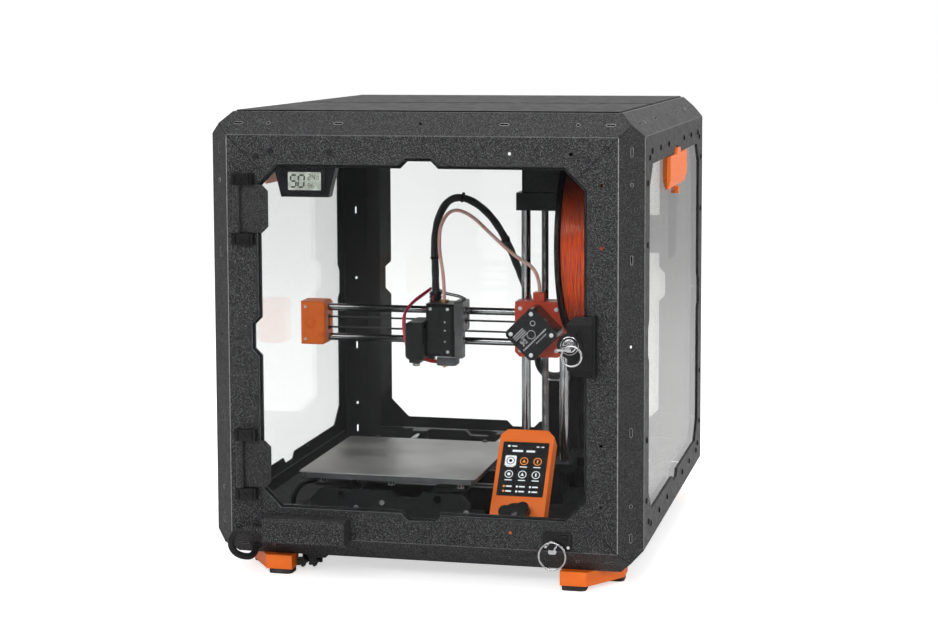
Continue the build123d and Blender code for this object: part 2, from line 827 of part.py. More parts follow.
def make_tower():
    """Upright aluminium profile behind the Z axis."""
    middle = ((tower_x0 + tower_x1) / 2, (tower_y0 + tower_y1) / 2, tower_low)
    with BuildPart() as tower:
        t_slot_bar(Plane(middle, x_dir=(1, 0, 0), z_dir=(0, 0, 1)), tower_x1 - tower_x0,
                   tower_y1 - tower_y0, tower_high - tower_low)
    save(tower.part, "tower")


def make_electronics_box():
    """Black box of the main board behind the tower, with cooling slots and a fan grille."""
    x0, x1 = 48.0, 146.0
    y0, y1 = tower_y1, tower_y1 + 34.0
    z0, z1 = base_z + 2 * steel, base_z + 118.0
    with BuildPart() as box:
        box_at(x0, x1, y0, y1, z0, z1)
        fillet(box.edges().filter_by(Axis.Z), 4.0)
        chamfer(box.faces().sort_by(Axis.Z)[-1].edges(), 1.5)
        with BuildSketch(Plane(((x0 + x1) / 2, y1, (z0 + z1) / 2), x_dir=(-1, 0, 0), z_dir=(0, 1, 0))):
            with GridLocations(9.0, 70.0, 8, 1):
                SlotOverall(60.0, 3.5, rotation=90)
        extrude(amount=-2.0, mode=Mode.SUBTRACT)
    save(box.part, "electronics_box")


def make_z_rods():
    with BuildPart() as rods:
        for x in (z_rod_left, z_rod_right):
            rod_between((x, z_rods_y, z_low - 8), (x, z_rods_y, z_high + 14), z_rod_r)
    save(rods.part, "z_rods")


def make_z_top_block():
    """Black block that holds the upper ends of the Z rods and reaches back to the tower."""
    with BuildPart() as block:
        box_at(38.0, 97.5, block_y0, z_rods_y + 12, z_high, z_high + 19)
        box_at(44.0, 97.5, block_y0 + 4, tower_y0, z_high + 19, z_high + 50)
        fillet(block.edges().filter_by(Axis.Z).group_by(Axis.X)[0], 2.0)
        for x in (z_rod_left, z_rod_right):
            rod_between((x, z_rods_y, z_high - 1), (x, z_rods_y, z_high + 14), z_rod_r, mode=Mode.SUBTRACT)
        rod_between((screw_x, z_rods_y, z_high - 1), (screw_x, z_rods_y, z_high + 10), screw_r + bearing_gap,
                    mode=Mode.SUBTRACT)
    save(block.part, "z_top_block")


def make_z_bottom_block():
    """Black block under the Z rods with the Z motor below it."""
    with BuildPart() as block:
        box_at(43.0, 99.0, block_y0, z_rods_y + 24, z_low - 10, z_low)
        box_at(84.0, 106.0, z_rods_y + 24, tower_y0, z_low - 10, z_low)
        for x in (z_rod_left, z_rod_right):
            rod_between((x, z_rods_y, z_low - 8), (x, z_rods_y, z_low + 1), z_rod_r, mode=Mode.SUBTRACT)
        rod_between((screw_x, z_rods_y, z_low - 11), (screw_x, z_rods_y, z_low + 1), 8.0, mode=Mode.SUBTRACT)
    motor_low = base_z + 2 * steel
    with BuildPart() as motor:
        box_at(screw_x - 21.0, screw_x + 21.0, z_rods_y - 12.0, z_rods_y + 21.0, motor_low, z_low - 10)
        chamfer(motor.edges().filter_by(Axis.Z), 4.0)
    save(Compound(children=[block.part, motor.part]), "z_bottom_block")


# ------------------------------------------------------------- display
tilt = 38.0
panel_mid = Vector(76.5, mid_y - 133.0, base_z + 62.5)
panel_w = 56.0
panel_long = 118.0
panel_thick = 20.0
panel_cut = 7.0
panel_normal = Vector(0, -cos(radians(tilt)), sin(radians(tilt)))
panel_face = Plane(panel_mid, x_dir=(1, 0, 0), z_dir=panel_normal)
screen_v = 14.5
knob_v = -41.0
knob_r = 17.0
knob_body_r = 12.0
knob_lobe_r = 6.5
knob_h = 12.0
screen_w = 48.0
screen_long = 61.0
shaft_r = 3.0
press_travel = 0.6


def make_display():
    """Orange housing that leans back, with a recess for the screen."""
    half_w_panel = panel_w / 2
    half_l = panel_long / 2
    outline = [(-half_w_panel, -half_l), (half_w_panel, -half_l), (half_w_panel, half_l - panel_cut),
               (half_w_panel - panel_cut, half_l), (panel_cut - half_w_panel, half_l),
               (-half_w_panel, half_l - panel_cut)]
    with BuildPart() as housing:
        outline_plate(panel_face, outline, -panel_thick)
        chamfer(housing.faces().filter_by(panel_face)[-1].edges(), 1.0)
        with BuildSketch(panel_face):
            with Locations((0, screen_v)):
                RectangleRounded(screen_w, screen_long, 1.0)
        extrude(amount=-1.2, mode=Mode.SUBTRACT)
        with BuildSketch(panel_face):
            with Locations((0, knob_v)):
                Circle(shaft_r + bearing_gap)
        extrude(amount=-8.0, mode=Mode.SUBTRACT)
        # foot that stands on the floor behind the leaning housing
        foot_y = panel_mid.Y + 14.0
        box_at(panel_mid.X - 18, panel_mid.X + 18, foot_y, foot_y + 10,
               base_z + 2 * steel, panel_mid.Z - 10)
        box_at(panel_mid.X - 18, panel_mid.X + 18, foot_y - 52, foot_y, base_z + 2 * steel, base_z + 7)
    save(housing.part, "display_housing")


def make_knob():
    """Push button shaft of the dial, and the three-lobed dial that turns on it."""
    top = panel_face.offset(1.4)
    with BuildPart() as shaft:
        with BuildSketch(panel_face.offset(-6.0)):
            with Locations((0, knob_v)):
                Circle(shaft_r)
        extrude(amount=6.0 + knob_h - 1.0)
    save(shaft.part, "knob_shaft")
    with BuildPart() as knob:
        with BuildSketch(top):
            with Locations((0, knob_v)):
                Circle(knob_body_r)
                with PolarLocations(knob_r - knob_lobe_r, 3, start_angle=45):
                    Circle(knob_lobe_r)
                Circle(shaft_r + bearing_gap, mode=Mode.SUBTRACT)
        extrude(amount=knob_h)
        rim = knob.faces().filter_by(top).sort_by(Axis.Y)[0]
        fillet(rim.outer_wire().edges(), 1.2)
    save(knob.part, "knob")


# ------------------------------------------------------------- bed, moves along Y
bed_half = sheet_size / 2
plate_low_z = sheet_z - sheet_thick - 6.0
carriage_low = base_z + 55.5
carriage_high = base_z + 58.5
y_bearing_r = 7.5


def make_bed_sheet():
    """Flexible print sheet with two notches at the back edge."""
    with BuildPart() as sheet:
        box_at(sheet_x - bed_half, sheet_x + bed_half, sheet_y - bed_half, sheet_y + bed_half,
               sheet_z - sheet_thick, sheet_z)
        fillet(sheet.edges().filter_by(Axis.Z), 3.0)
        for s in (-1, 1):
            rod_between((sheet_x + s * 60, sheet_y + bed_half, sheet_z - 2),
                        (sheet_x + s * 60, sheet_y + bed_half, sheet_z + 1), 3.2, mode=Mode.SUBTRACT)
    save(sheet.part, "bed_sheet")


def make_bed_plate():
    """Heated aluminium plate under the sheet, with two locating pins at the back."""
    with BuildPart() as plate:
        box_at(sheet_x - bed_half + 2, sheet_x + bed_half - 2,
               sheet_y - bed_half + 3, sheet_y + bed_half + 6,
               plate_low_z, sheet_z - sheet_thick)
        fillet(plate.edges().filter_by(Axis.Z), 5.0)
        for s in (-1, 1):
            rod_between((sheet_x + s * 60, sheet_y + bed_half, sheet_z - sheet_thick),
                        (sheet_x + s * 60, sheet_y + bed_half, sheet_z + 1.5), 2.4)
    save(plate.part, "bed_plate")


def make_y_carriage():
    """Steel carriage with nine standoffs above it and three bearings on the rods below."""
    with BuildPart() as carriage:
        box_at(sheet_x - 68, sheet_x + 68, sheet_y - 44, sheet_y + 44, carriage_low, carriage_high)
        for sx in (-1, 1):
            for sy in (-1, 1):
                arm = Plane((sheet_x + sx * 62, sheet_y + sy * 56, carriage_low))
                with BuildSketch(arm):
                    Rectangle(34.0, 40.0)
                extrude(amount=carriage_high - carriage_low)
        with BuildSketch(level(carriage_high)):
            with Locations((sheet_x, sheet_y)):
                with GridLocations(72.0, 72.0, 3, 3):
                    Circle(3.0)
        extrude(amount=plate_low_z - carriage_high)
    bearings = []
    for e, places in ((-1, (-24.0, 24.0)), (1, (0.0,))):
        for place in places:
            x = sheet_x + e * y_rod_half
            with BuildPart() as bearing:
                rod_between((x, sheet_y + place - 12, y_rod_z),
                            (x, sheet_y + place + 12, y_rod_z), y_bearing_r)
                rod_between((x, sheet_y + place - 13, y_rod_z), (x, sheet_y + place + 13, y_rod_z),
                            y_rod_r + bearing_gap, mode=Mode.SUBTRACT)
            bearings.append(bearing.part)
    save(Compound(children=[carriage.part] + bearings), "y_carriage")


# ------------------------------------------------------------- Z screw and the moving X axis
belt_r = 6.4
belt_thick = 1.3
belt_half = 3.0
pulley_r = belt_r - belt_thick
axis_z = (rod_low_z + rod_high_z) / 2
idler_x = -184.0
drive_x = 77.0
block_low = base_z + 168.0
block_high = base_z + 228.0
block_front = nozzle_y + 4.0
block_back = rod_y + 9.0
rear_block_back = z_rods_y + 14.0
motor_half = 21.15
motor_cut = 3.5
x_motor_y0 = z_rods_y + 16.0
x_motor_y1 = x_motor_y0 + 30.0
ext_motor_x = 66.0
ext_motor_front = block_front - 34.0


def make_leadscrew():
    with BuildPart() as screw:
        rod_between((screw_x, z_rods_y, z_low - 8), (screw_x, z_rods_y, z_high + 8), screw_r)
        rod_between((screw_x, z_rods_y, z_low - 9), (screw_x, z_rods_y, z_low + 6), 7.0)
    save(screw.part, "leadscrew")


def make_z_carriage():
    """Orange block that carries the X axis on the Z rods, and the extruder on its front."""
    with BuildPart() as block:
        box_at(block_left + 5, 93.0, block_front, block_back, block_low, block_high)
        chamfer(block.edges().filter_by(Axis.Y), 5.0)
        box_at(block_left, 97.5, block_back, rear_block_back, block_low + 4, block_high - 4)
        box_at(60.0, 72.0, block_front + 5, block_front + 17, block_high, block_high + 9)
        for x in (z_rod_left, z_rod_right):
            rod_between((x, z_rods_y, block_low - 1), (x, z_rods_y, block_high + 1), z_rod_r + bearing_gap,
                        mode=Mode.SUBTRACT)
        rod_between((screw_x, z_rods_y, block_low - 1), (screw_x, z_rods_y, block_high + 1),
                    screw_r + bearing_gap, mode=Mode.SUBTRACT)
        for z in (rod_low_z, rod_high_z):
            rod_between((block_left, rod_y, z), (block_left + 22, rod_y, z), x_rod_r, mode=Mode.SUBTRACT)
        # way for the belt and its driven pulley
        reach = belt_r + belt_thick + 0.5
        box_at(block_left - 1, drive_x, rod_y - belt_half - 1, rod_y + belt_half + 1, axis_z - reach,
               axis_z + reach, mode=Mode.SUBTRACT)
        rod_between((drive_x, rod_y - belt_half - 1, axis_z),
                    (drive_x, rod_y + belt_half + 1, axis_z), reach,
                    mode=Mode.SUBTRACT)
        # room for the drive gear behind the extruder motor
        rod_between((ext_motor_x, block_front, axis_z), (ext_motor_x, block_front + 9, axis_z), 8.0,
                    mode=Mode.SUBTRACT)
        rod_between((drive_x, rod_y, axis_z), (drive_x, rear_block_back + 1, axis_z), 2.9,
                    mode=Mode.SUBTRACT)
    save(block.part, "z_carriage")


def make_motors():
    """Extruder motor turned to stand on a corner, with its rear plate and screws."""
    slant = sqrt(0.5)
    turned = Plane((ext_motor_x, block_front, axis_z), x_dir=(slant, 0, slant), z_dir=(0, -1, 0))
    body_long = block_front - ext_motor_front
    with BuildPart() as motor:
        with BuildSketch(turned) as section:
            Rectangle(2 * motor_half, 2 * motor_half)
            chamfer(section.vertices(), motor_cut)
        extrude(amount=body_long)
        screw_heads(turned.offset(body_long), [(s * 15.5, e * 15.5) for s in (-1, 1) for e in (-1, 1)])
        with BuildSketch(turned.offset(body_long)):
            Circle(4.0)
        extrude(amount=0.6)
    save(motor.part, "extruder_motor")
    with BuildPart() as x_motor:
        with BuildSketch(front(x_motor_y1)) as section:
            with Locations((drive_x, axis_z)):
                Rectangle(2 * motor_half, 2 * motor_half)
            chamfer(section.vertices(), motor_cut)
        extrude(amount=x_motor_y1 - x_motor_y0)
        for s in (-1, 1):
            rod_between((drive_x + s * 15.5, x_motor_y0, axis_z + 15.5),
                        (drive_x + s * 15.5, rear_block_back, axis_z + 15.5), 2.5)
            rod_between((drive_x + s * 15.5, x_motor_y0, axis_z - 15.5),
                        (drive_x + s * 15.5, rear_block_back, axis_z - 15.5), 2.5)
    save(x_motor.part, "x_motor")


def make_gears():
    """Drive gear of the extruder, and the two belt pulleys."""
    with BuildPart() as gear:
        with BuildSketch(front(block_front + 8)):
            with Locations((ext_motor_x, axis_z)):
                Circle(6.0)
                with PolarLocations(6.2, 17):
                    Circle(0.6)
        extrude(amount=7.0)
    save(gear.part, "extruder_gear")
    with BuildPart() as drive:
        with BuildSketch(front(rod_y + belt_half)):
            with Locations((drive_x, axis_z)):
                Circle(pulley_r - 0.1)
        extrude(amount=2 * belt_half)
        rod_between((drive_x, rod_y, axis_z), (drive_x, x_motor_y0 - 0.2, axis_z), 2.5)
    save(drive.part, "drive_pulley")
    with BuildPart() as idler:
        rod_between((idler_x, rod_y - belt_half, axis_z),
                    (idler_x, rod_y + belt_half, axis_z), pulley_r - 0.1)
        rod_between((idler_x, rod_y - belt_half - 1.2, axis_z),
                    (idler_x, rod_y + belt_half + 1.2, axis_z), 3.0)
        rod_between((idler_x, rod_y - 9, axis_z), (idler_x, rod_y + 9, axis_z), 1.6, mode=Mode.SUBTRACT)
    save(idler.part, "idler_pulley")


def make_x_rods():
    with BuildPart() as rods:
        for z in (rod_low_z, rod_high_z):
            rod_between((end_left + 6, rod_y, z), (block_left + 22, rod_y, z), x_rod_r)
    save(rods.part, "x_rods")


def make_x_idler_end():
    """Orange block at the free end of the X rods, with the idler inside and its axle."""
    low = base_z + 174.0
    high = base_z + 221.5
    with BuildPart() as end:
        box_at(end_left, end_right, block_front, rod_y + 13, low, high)
        chamfer(end.edges().filter_by(Axis.Y).group_by(Axis.X)[-1], 3.0)
        chamfer(end.faces().sort_by(Axis.Y)[0].edges(), 1.5)
        for z in (rod_low_z, rod_high_z):
            rod_between((end_left + 6, rod_y, z), (end_right + 1, rod_y, z), x_rod_r,
                        mode=Mode.SUBTRACT)
        reach = belt_r + belt_thick + 0.8
        box_at(idler_x, end_right + 1, rod_y - belt_half - 1.5, rod_y + belt_half + 1.5, axis_z - reach,
               axis_z + reach, mode=Mode.SUBTRACT)
        rod_between((idler_x, rod_y - belt_half - 1.5, axis_z),
                    (idler_x, rod_y + belt_half + 1.5, axis_z), reach,
                    mode=Mode.SUBTRACT)
        rod_between((idler_x, rod_y - 6, axis_z), (idler_x, rod_y + 6, axis_z), 1.55)
        with BuildSketch(front(block_front)):
            with Locations((idler_x - 4.0, axis_z + 1.0)):
                Circle(6.5)
                Circle(4.5, mode=Mode.SUBTRACT)
        extrude(amount=-1.0, mode=Mode.SUBTRACT)
        screw_heads(front(block_front), [(idler_x + 7, axis_z + 11), (idler_x + 7, axis_z - 12)])
        rod_between((idler_x - 4, block_front, axis_z + 1),
                    (idler_x - 4, block_front - 1.2, axis_z + 1), 3.0)
    save(end.part, "x_idler_end")


def make_x_belt():
    """Closed belt round the idler and the driven pulley."""
    middle = (idler_x + drive_x) / 2
    long = drive_x - idler_x
    with BuildPart() as belt:
        with BuildSketch(front(rod_y + belt_half)):
            with Locations((middle, axis_z)):
                SlotCenterToCenter(long, 2 * belt_r)
                SlotCenterToCenter(long, 2 * (belt_r - belt_thick), mode=Mode.SUBTRACT)
        extrude(amount=2 * belt_half)
    save(belt.part, "x_belt")


# ------------------------------------------------------------- print head, moves along X
head_front = nozzle_y - 24.0
carriage_half = 15.0
shroud_x0 = nozzle_x - 15.0
shroud_x1 = nozzle_x + 16.0
shroud_low = base_z + 169.0
shroud_high = base_z + 226.0
sink_r = 8.0
fan_x0 = shroud_x0 - 11.0
fan_mid_y = nozzle_y - 18.5
fan_mid_z = base_z + 188.0
fan_half = 20.0
rotor_r = 17.5
cover_x0 = fan_x0 - 9.0
clamp_x = nozzle_x - 14.0
clamp_y = nozzle_y + 18.0
clamp_low = rod_high_z + 8.5
clamp_high = clamp_low + 12.0


def make_print_carriage():
    """Black carriage on the X rods with room for the belt, and the ribbed clamp of the loom."""
    back = rod_y + 10.0
    front_face = rod_y - 10.0
    reach = belt_r + 0.5
    with BuildPart() as carriage:
        box_at(nozzle_x - carriage_half, nozzle_x + carriage_half, front_face, back, rod_low_z - 8.5,
               rod_high_z + 8.5)
        chamfer(carriage.edges().filter_by(Axis.X), 2.0)
        for z in (rod_low_z, rod_high_z):
            rod_between((nozzle_x - 20, rod_y, z), (nozzle_x + 20, rod_y, z), x_rod_r + bearing_gap,
                        mode=Mode.SUBTRACT)
        box_at(nozzle_x - 20, nozzle_x + 20,
               rod_y - belt_half - 0.7, rod_y + belt_half + 0.7, axis_z - reach,
               axis_z + reach, mode=Mode.SUBTRACT)
    with BuildPart() as clamp:
        rod_between((clamp_x, clamp_y, clamp_low), (clamp_x, clamp_y, clamp_high), 6.0)
        for i in range(3):
            z = clamp_low + 1.5 + i * 3.6
            rod_between((clamp_x, clamp_y, z), (clamp_x, clamp_y, z + 1.8), 7.0)
    save(Compound(children=[carriage.part, clamp.part]), "print_carriage")


def make_hotend():
    """Finned heat sink, heater block, brass nozzle and the tube fitting on top."""
    with BuildPart() as hotend:
        rod_between((nozzle_x, nozzle_y, base_z + 173), (nozzle_x, nozzle_y, base_z + 211), sink_r - 2.5)
        for i in range(9):
            z = base_z + 174.0 + i * 4.0
            rod_between((nozzle_x, nozzle_y, z), (nozzle_x, nozzle_y, z + 1.8), sink_r)
        box_at(nozzle_x - 5, nozzle_x + 5, nozzle_y + 4, nozzle_y + 10, base_z + 178, base_z + 206)
        rod_between((nozzle_x, nozzle_y, base_z + 168), (nozzle_x, nozzle_y, base_z + 173), 2.0)
        box_at(nozzle_x - 6, nozzle_x + 14, nozzle_y - 8, nozzle_y + 8, base_z + 157.5, base_z + 168)
        with BuildSketch(level(nozzle_z + 1.5)):
            with Locations((nozzle_x, nozzle_y)):
                RegularPolygon(3.5, 6)
        extrude(amount=2.0)
        with BuildSketch(level(nozzle_z)):
            with Locations((nozzle_x, nozzle_y)):
                Circle(0.6)
        with BuildSketch(level(nozzle_z + 1.5)):
            with Locations((nozzle_x, nozzle_y)):
                Circle(2.6)
        loft()
        rod_between((nozzle_x, nozzle_y, base_z + 211), (nozzle_x, nozzle_y, base_z + 217), 4.0)
        rod_between((nozzle_x, nozzle_y, base_z + 217), (nozzle_x, nozzle_y, base_z + 228), 5.2)
    save(hotend.part, "hotend")


def make_fan_shroud():
    """Black shroud round the heat sink, and the fan frame with its rounded cover."""
    fan_y0 = fan_mid_y - fan_half
    fan_y1 = fan_mid_y + fan_half
    with BuildPart() as shroud:
        box_at(shroud_x0, shroud_x1, head_front, nozzle_y + 10, shroud_low, shroud_high)
        chamfer(shroud.faces().sort_by(Axis.Y)[0].edges(), 3.0)
        box_at(shroud_x0 + 2.5, shroud_x1 - 2.5,
               head_front + 2.5, nozzle_y + 11, shroud_low - 1, shroud_high - 3,
               mode=Mode.SUBTRACT)
        rod_between((nozzle_x, nozzle_y, shroud_high - 4), (nozzle_x, nozzle_y, shroud_high + 1), 5.6,
                    mode=Mode.SUBTRACT)
        # way for the air of the fan
        box_at(shroud_x0 - 1, shroud_x0 + 3, nozzle_y - 17, nozzle_y - 1, fan_mid_z - 12, fan_mid_z + 12,
               mode=Mode.SUBTRACT)
    with BuildPart() as fan_frame:
        box_at(fan_x0, shroud_x0, fan_y0, fan_y1, fan_mid_z - fan_half, fan_mid_z + fan_half)
        rod_between((fan_x0 - 1, fan_mid_y, fan_mid_z), (shroud_x0 + 1, fan_mid_y, fan_mid_z), rotor_r + 0.8,
                    mode=Mode.SUBTRACT)
        # boss behind the rotor on three arms
        rod_between((shroud_x0 - 1.4, fan_mid_y, fan_mid_z), (shroud_x0, fan_mid_y, fan_mid_z), 6.0)
        with BuildSketch(side(shroud_x0 - 1.4)):
            with Locations((fan_mid_y, fan_mid_z)):
                with PolarLocations(12.0, 3, start_angle=30):
                    Rectangle(14.0, 2.0)
        extrude(amount=1.4)
    with BuildPart() as cover:
        box_at(cover_x0, fan_x0, fan_y0, fan_y1, fan_mid_z - fan_half, fan_mid_z + fan_half)
        fillet(cover.edges().group_by(Axis.X)[0], 6.0)
        box_at(cover_x0 + 2, fan_x0, fan_y0 + 2, fan_y1 - 2,
               fan_mid_z - fan_half + 2, fan_mid_z + fan_half - 2,
               mode=Mode.SUBTRACT)
    save(Compound(children=[shroud.part, fan_frame.part, cover.part]), "fan_shroud")


def make_fan_rotor():
    """Hub and seven twisted blades of the hot-end fan."""
    with BuildPart() as rotor:
        rod_between((fan_x0 + 1, fan_mid_y, fan_mid_z), (shroud_x0 - 1.8, fan_mid_y, fan_mid_z), 6.5)
        for i in range(7):
            turn = i * 360.0 / 7
            blade = Plane((fan_x0 + 5.5, fan_mid_y, fan_mid_z),
                          x_dir=(0, cos(radians(turn)), sin(radians(turn))),
                          z_dir=(1, 0, 0))
            slanted = blade.rotated((35, 0, 0))
            with BuildSketch(slanted):
                with Locations((11.0, 0)):
                    Rectangle(11.5, 7.0)
            extrude(amount=1.0)
    save(rotor.part, "hotend_fan")


def make_blower():
    """Grey part-cooling blower on the right of the head, with its duct."""
    x0 = shroud_x1
    with BuildPart() as blower:
        box_at(x0, x0 + 10, nozzle_y - 22, nozzle_y + 9, base_z + 196, base_z + 229)
        fillet(blower.edges().filter_by(Axis.X), 4.0)
        box_at(x0 + 1, x0 + 9, nozzle_y - 22, nozzle_y - 8, base_z + 168, base_z + 200)
        rod_between((x0 + 8, nozzle_y - 6, base_z + 213), (x0 + 10, nozzle_y - 6, base_z + 213), 9.0,
                    mode=Mode.SUBTRACT)
        rod_between((x0 + 8, nozzle_y - 6, base_z + 213), (x0 + 9.6, nozzle_y - 6, base_z + 213), 4.0)
    save(blower.part, "blower")


def make_probe():
    """Bed probe with its holder in front of the hot end."""
    x = nozzle_x - 30.0
    y = nozzle_y - 6.0
    with BuildPart() as probe:
        box_at(x - 6, shroud_x0 + 2.4, nozzle_y + 2, nozzle_y + 10, base_z + 160, base_z + 167.8)
        box_at(shroud_x0 - 6, shroud_x0 + 2.4, nozzle_y + 3, nozzle_y + 10, base_z + 160, shroud_low)
        box_at(x - 6, x + 6, y - 8, nozzle_y + 2, base_z + 160, base_z + 167.8)
        rod_between((x, y, base_z + 156), (x, y, base_z + 160), 4.0)
    save(probe.part, "probe")


sleeve_r = 4.2
ptfe_r = 2.0
loom_route = [
    (clamp_x, clamp_y, clamp_high), (clamp_x, clamp_y, base_z + 256.0),
    (clamp_x - 2.0, clamp_y + 1.0, base_z + 288.0), (clamp_x + 3.0, clamp_y + 2.0, base_z + 318.0),
    (clamp_x + 16.0, clamp_y + 3.0, base_z + 337.0), (clamp_x + 36.0, clamp_y + 4.0, base_z + 337.0),
    (clamp_x + 58.0, clamp_y + 10.0, base_z + 320.0), (clamp_x + 74.0, clamp_y + 20.0, base_z + 292.0),
    (clamp_x + 82.0, z_rods_y + 16.0, base_z + 262.0), (clamp_x + 90.0, z_rods_y + 30.0, base_z + 233.0),
    (z_rod_left, z_rods_y + 32.0, base_z + 204.0), (z_rod_left, rear_block_back, base_z + 204.0)]
ptfe_route = [
    (nozzle_x, nozzle_y, base_z + 228.0), (nozzle_x, nozzle_y, base_z + 252.0),
    (nozzle_x - 6.0, nozzle_y + 1.0, base_z + 282.0), (nozzle_x - 5.0, nozzle_y + 3.0, base_z + 310.0),
    (nozzle_x + 8.0, nozzle_y + 6.0, base_z + 327.0), (nozzle_x + 28.0, nozzle_y + 9.0, base_z + 320.0),
    (nozzle_x + 50.0, nozzle_y + 12.0, base_z + 298.0), (nozzle_x + 74.0, nozzle_y + 14.0, base_z + 276.0),
    (66.0, nozzle_y + 15.0, base_z + 260.0), (66.0, nozzle_y + 15.0, block_high + 9.0)]
low_route = [
    (56.0, rear_block_back - 3.0, block_low + 4.0), (56.0, rear_block_back - 3.0, block_low - 14.0),
    (62.0, rear_block_back + 6.0, block_low - 28.0), (76.0, rear_block_back + 16.0, block_low - 32.0),
    (91.0, rear_block_back + 26.0, block_low - 26.0), (95.0, tower_y0 - 16.0, block_low - 20.0),
    (95.0, tower_y0, block_low - 20.0)]
bed_left = sheet_x - 79.3
bed_route = [
    (bed_left, sheet_y - 56.0, carriage_low + 1.5), (bed_left - 12.0, sheet_y - 56.0, carriage_low + 1.5),
    (bed_left - 24.0, sheet_y - 62.0, carriage_low - 5.0),
    (bed_left - 30.0, sheet_y - 62.0, carriage_low - 22.0),
    (bed_left - 30.0, sheet_y - 48.0, base_z + 16.0), (bed_left - 27.0, sheet_y - 22.0, base_z + 8.5),
    (bed_left - 22.0, sheet_y + 8.0, base_z + 9.0), (bed_left - 16.0, nozzle_y - 46.0, base_z + 16.0),
    (bed_left - 8.0, nozzle_y - 42.0, base_z + 24.0), (beam_x0, nozzle_y - 42.0, base_z + 24.0)]


def make_cables():
    save(tube_along(loom_route, sleeve_r), "loom")
    save(tube_along(ptfe_route, ptfe_r), "filament_tube")
    save(tube_along(low_route, sleeve_r), "gantry_cable")
    save(tube_along(bed_route, 3.0), "bed_cable")


# ------------------------------------------------------------- filament reel
rim_thick = 4.0
hub_r = 27.0
wound_r = 93.0
barrel_out = 34.0
holder_r = 20.0


def make_reel():
    """Black reel with two flanges and the wound filament."""
    with BuildPart() as reel:
        for x in (reel_x0, reel_x1 - rim_thick):
            with BuildSketch(side(x)):
                with Locations((reel_y, reel_z)):
                    Circle(reel_r)
                    Circle(hub_r, mode=Mode.SUBTRACT)
                    with PolarLocations(66.0, 6):
                        SlotOverall(36.0, 16.0, rotation=90, mode=Mode.SUBTRACT)
            extrude(amount=rim_thick)
        with BuildSketch(side(reel_x0)):
            with Locations((reel_y, reel_z)):
                Circle(barrel_out)
                Circle(hub_r, mode=Mode.SUBTRACT)
        extrude(amount=reel_x1 - reel_x0)
    save(reel.part, "reel")
    with BuildPart() as filament:
        with BuildSketch(side(reel_x0 + rim_thick)):
            with Locations((reel_y, reel_z)):
                Circle(wound_r)
                Circle(barrel_out, mode=Mode.SUBTRACT)
        extrude(amount=reel_x1 - reel_x0 - 2 * rim_thick)
    save(filament.part, "filament")


def make_reel_holder():
    """Arm on the right wall with the roller that the reel hangs on."""
    roller_z = reel_z + hub_r - holder_r - 0.5
    wall = half_w - steel - pane
    with BuildPart() as holder:
        rod_between((reel_x0 - 4, reel_y, roller_z), (wall - 6, reel_y, roller_z), holder_r)
        rod_between((reel_x0 - 4, reel_y, roller_z), (reel_x0 - 1, reel_y, roller_z), holder_r + 5.0)
        box_at(wall - 6, wall, reel_y - 32, reel_y + 32, roller_z - 24, mid_z + window_h / 2 - 40)
    save(holder.part, "reel_holder")


make_frame()
make_windows()
make_top_covers()
make_floor_plate()
make_frame_screws()
make_side_handles()
make_door_seal()
make_door_panel()
make_hinge_leaves()
make_hinge_blocks()
make_lock_housing()
make_lock_plug()
make_ring("key_ring", (key_ring_x, key_ring_y, key_ring_z), key_ring_r, ring_wire)
make_latch_plate()
make_ring("pull_ring", (pull_x, pull_y, pull_pin_z + pull_pin_r + ring_wire + 0.1 - pull_ring_r),
          pull_ring_r, ring_wire)
make_hygrometer()
make_connector_box()
make_power_cable()
make_feet()
make_base_beams()
make_end_plates()
make_y_rods()
make_tower()
make_electronics_box()
make_z_rods()
make_z_top_block()
make_z_bottom_block()
make_display()
make_knob()
make_bed_sheet()
make_bed_plate()
make_y_carriage()
make_leadscrew()
make_z_carriage()
make_motors()
make_gears()
make_x_rods()
make_x_idler_end()
make_x_belt()
make_print_carriage()
make_hotend()
make_fan_shroud()
make_fan_rotor()
make_blower()
make_probe()
make_cables()
make_reel()
make_reel_holder()
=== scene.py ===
"""Looks of the enclosed desktop printer: materials, fine parts, light and camera.

Forms are drawn in millimetres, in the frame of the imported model, and are turned
into metres when a piece is made.  The CAD nodes stay as they are: they only get
materials, or a finer piece stands in for them.
"""
from math import cos, pi, radians, sin, sqrt
import bmesh
import bpy
from mathutils import Matrix, Vector, noise


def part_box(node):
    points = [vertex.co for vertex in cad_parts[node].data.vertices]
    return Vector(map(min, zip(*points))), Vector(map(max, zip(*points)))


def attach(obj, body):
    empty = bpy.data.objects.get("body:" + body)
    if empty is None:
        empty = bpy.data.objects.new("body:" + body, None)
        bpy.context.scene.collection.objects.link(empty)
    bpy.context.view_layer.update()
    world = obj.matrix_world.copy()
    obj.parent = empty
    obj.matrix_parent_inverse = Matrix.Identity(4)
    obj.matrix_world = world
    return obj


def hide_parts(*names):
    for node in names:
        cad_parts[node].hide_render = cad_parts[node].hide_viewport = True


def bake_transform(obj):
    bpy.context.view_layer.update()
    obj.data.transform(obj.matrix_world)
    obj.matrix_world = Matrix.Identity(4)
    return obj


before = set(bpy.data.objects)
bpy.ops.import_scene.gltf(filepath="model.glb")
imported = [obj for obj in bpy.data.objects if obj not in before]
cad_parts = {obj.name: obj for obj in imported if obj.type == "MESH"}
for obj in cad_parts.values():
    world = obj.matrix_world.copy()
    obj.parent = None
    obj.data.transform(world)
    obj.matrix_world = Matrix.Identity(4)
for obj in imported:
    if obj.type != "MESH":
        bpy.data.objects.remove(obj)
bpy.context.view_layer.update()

MM = 0.001
SCENE = bpy.context.scene


def corners(node):
    """Lowest and highest corner of a CAD node at rest, in millimetres."""
    low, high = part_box(node)
    return low / MM, high / MM


def middle(node):
    low, high = corners(node)
    return (low + high) / 2


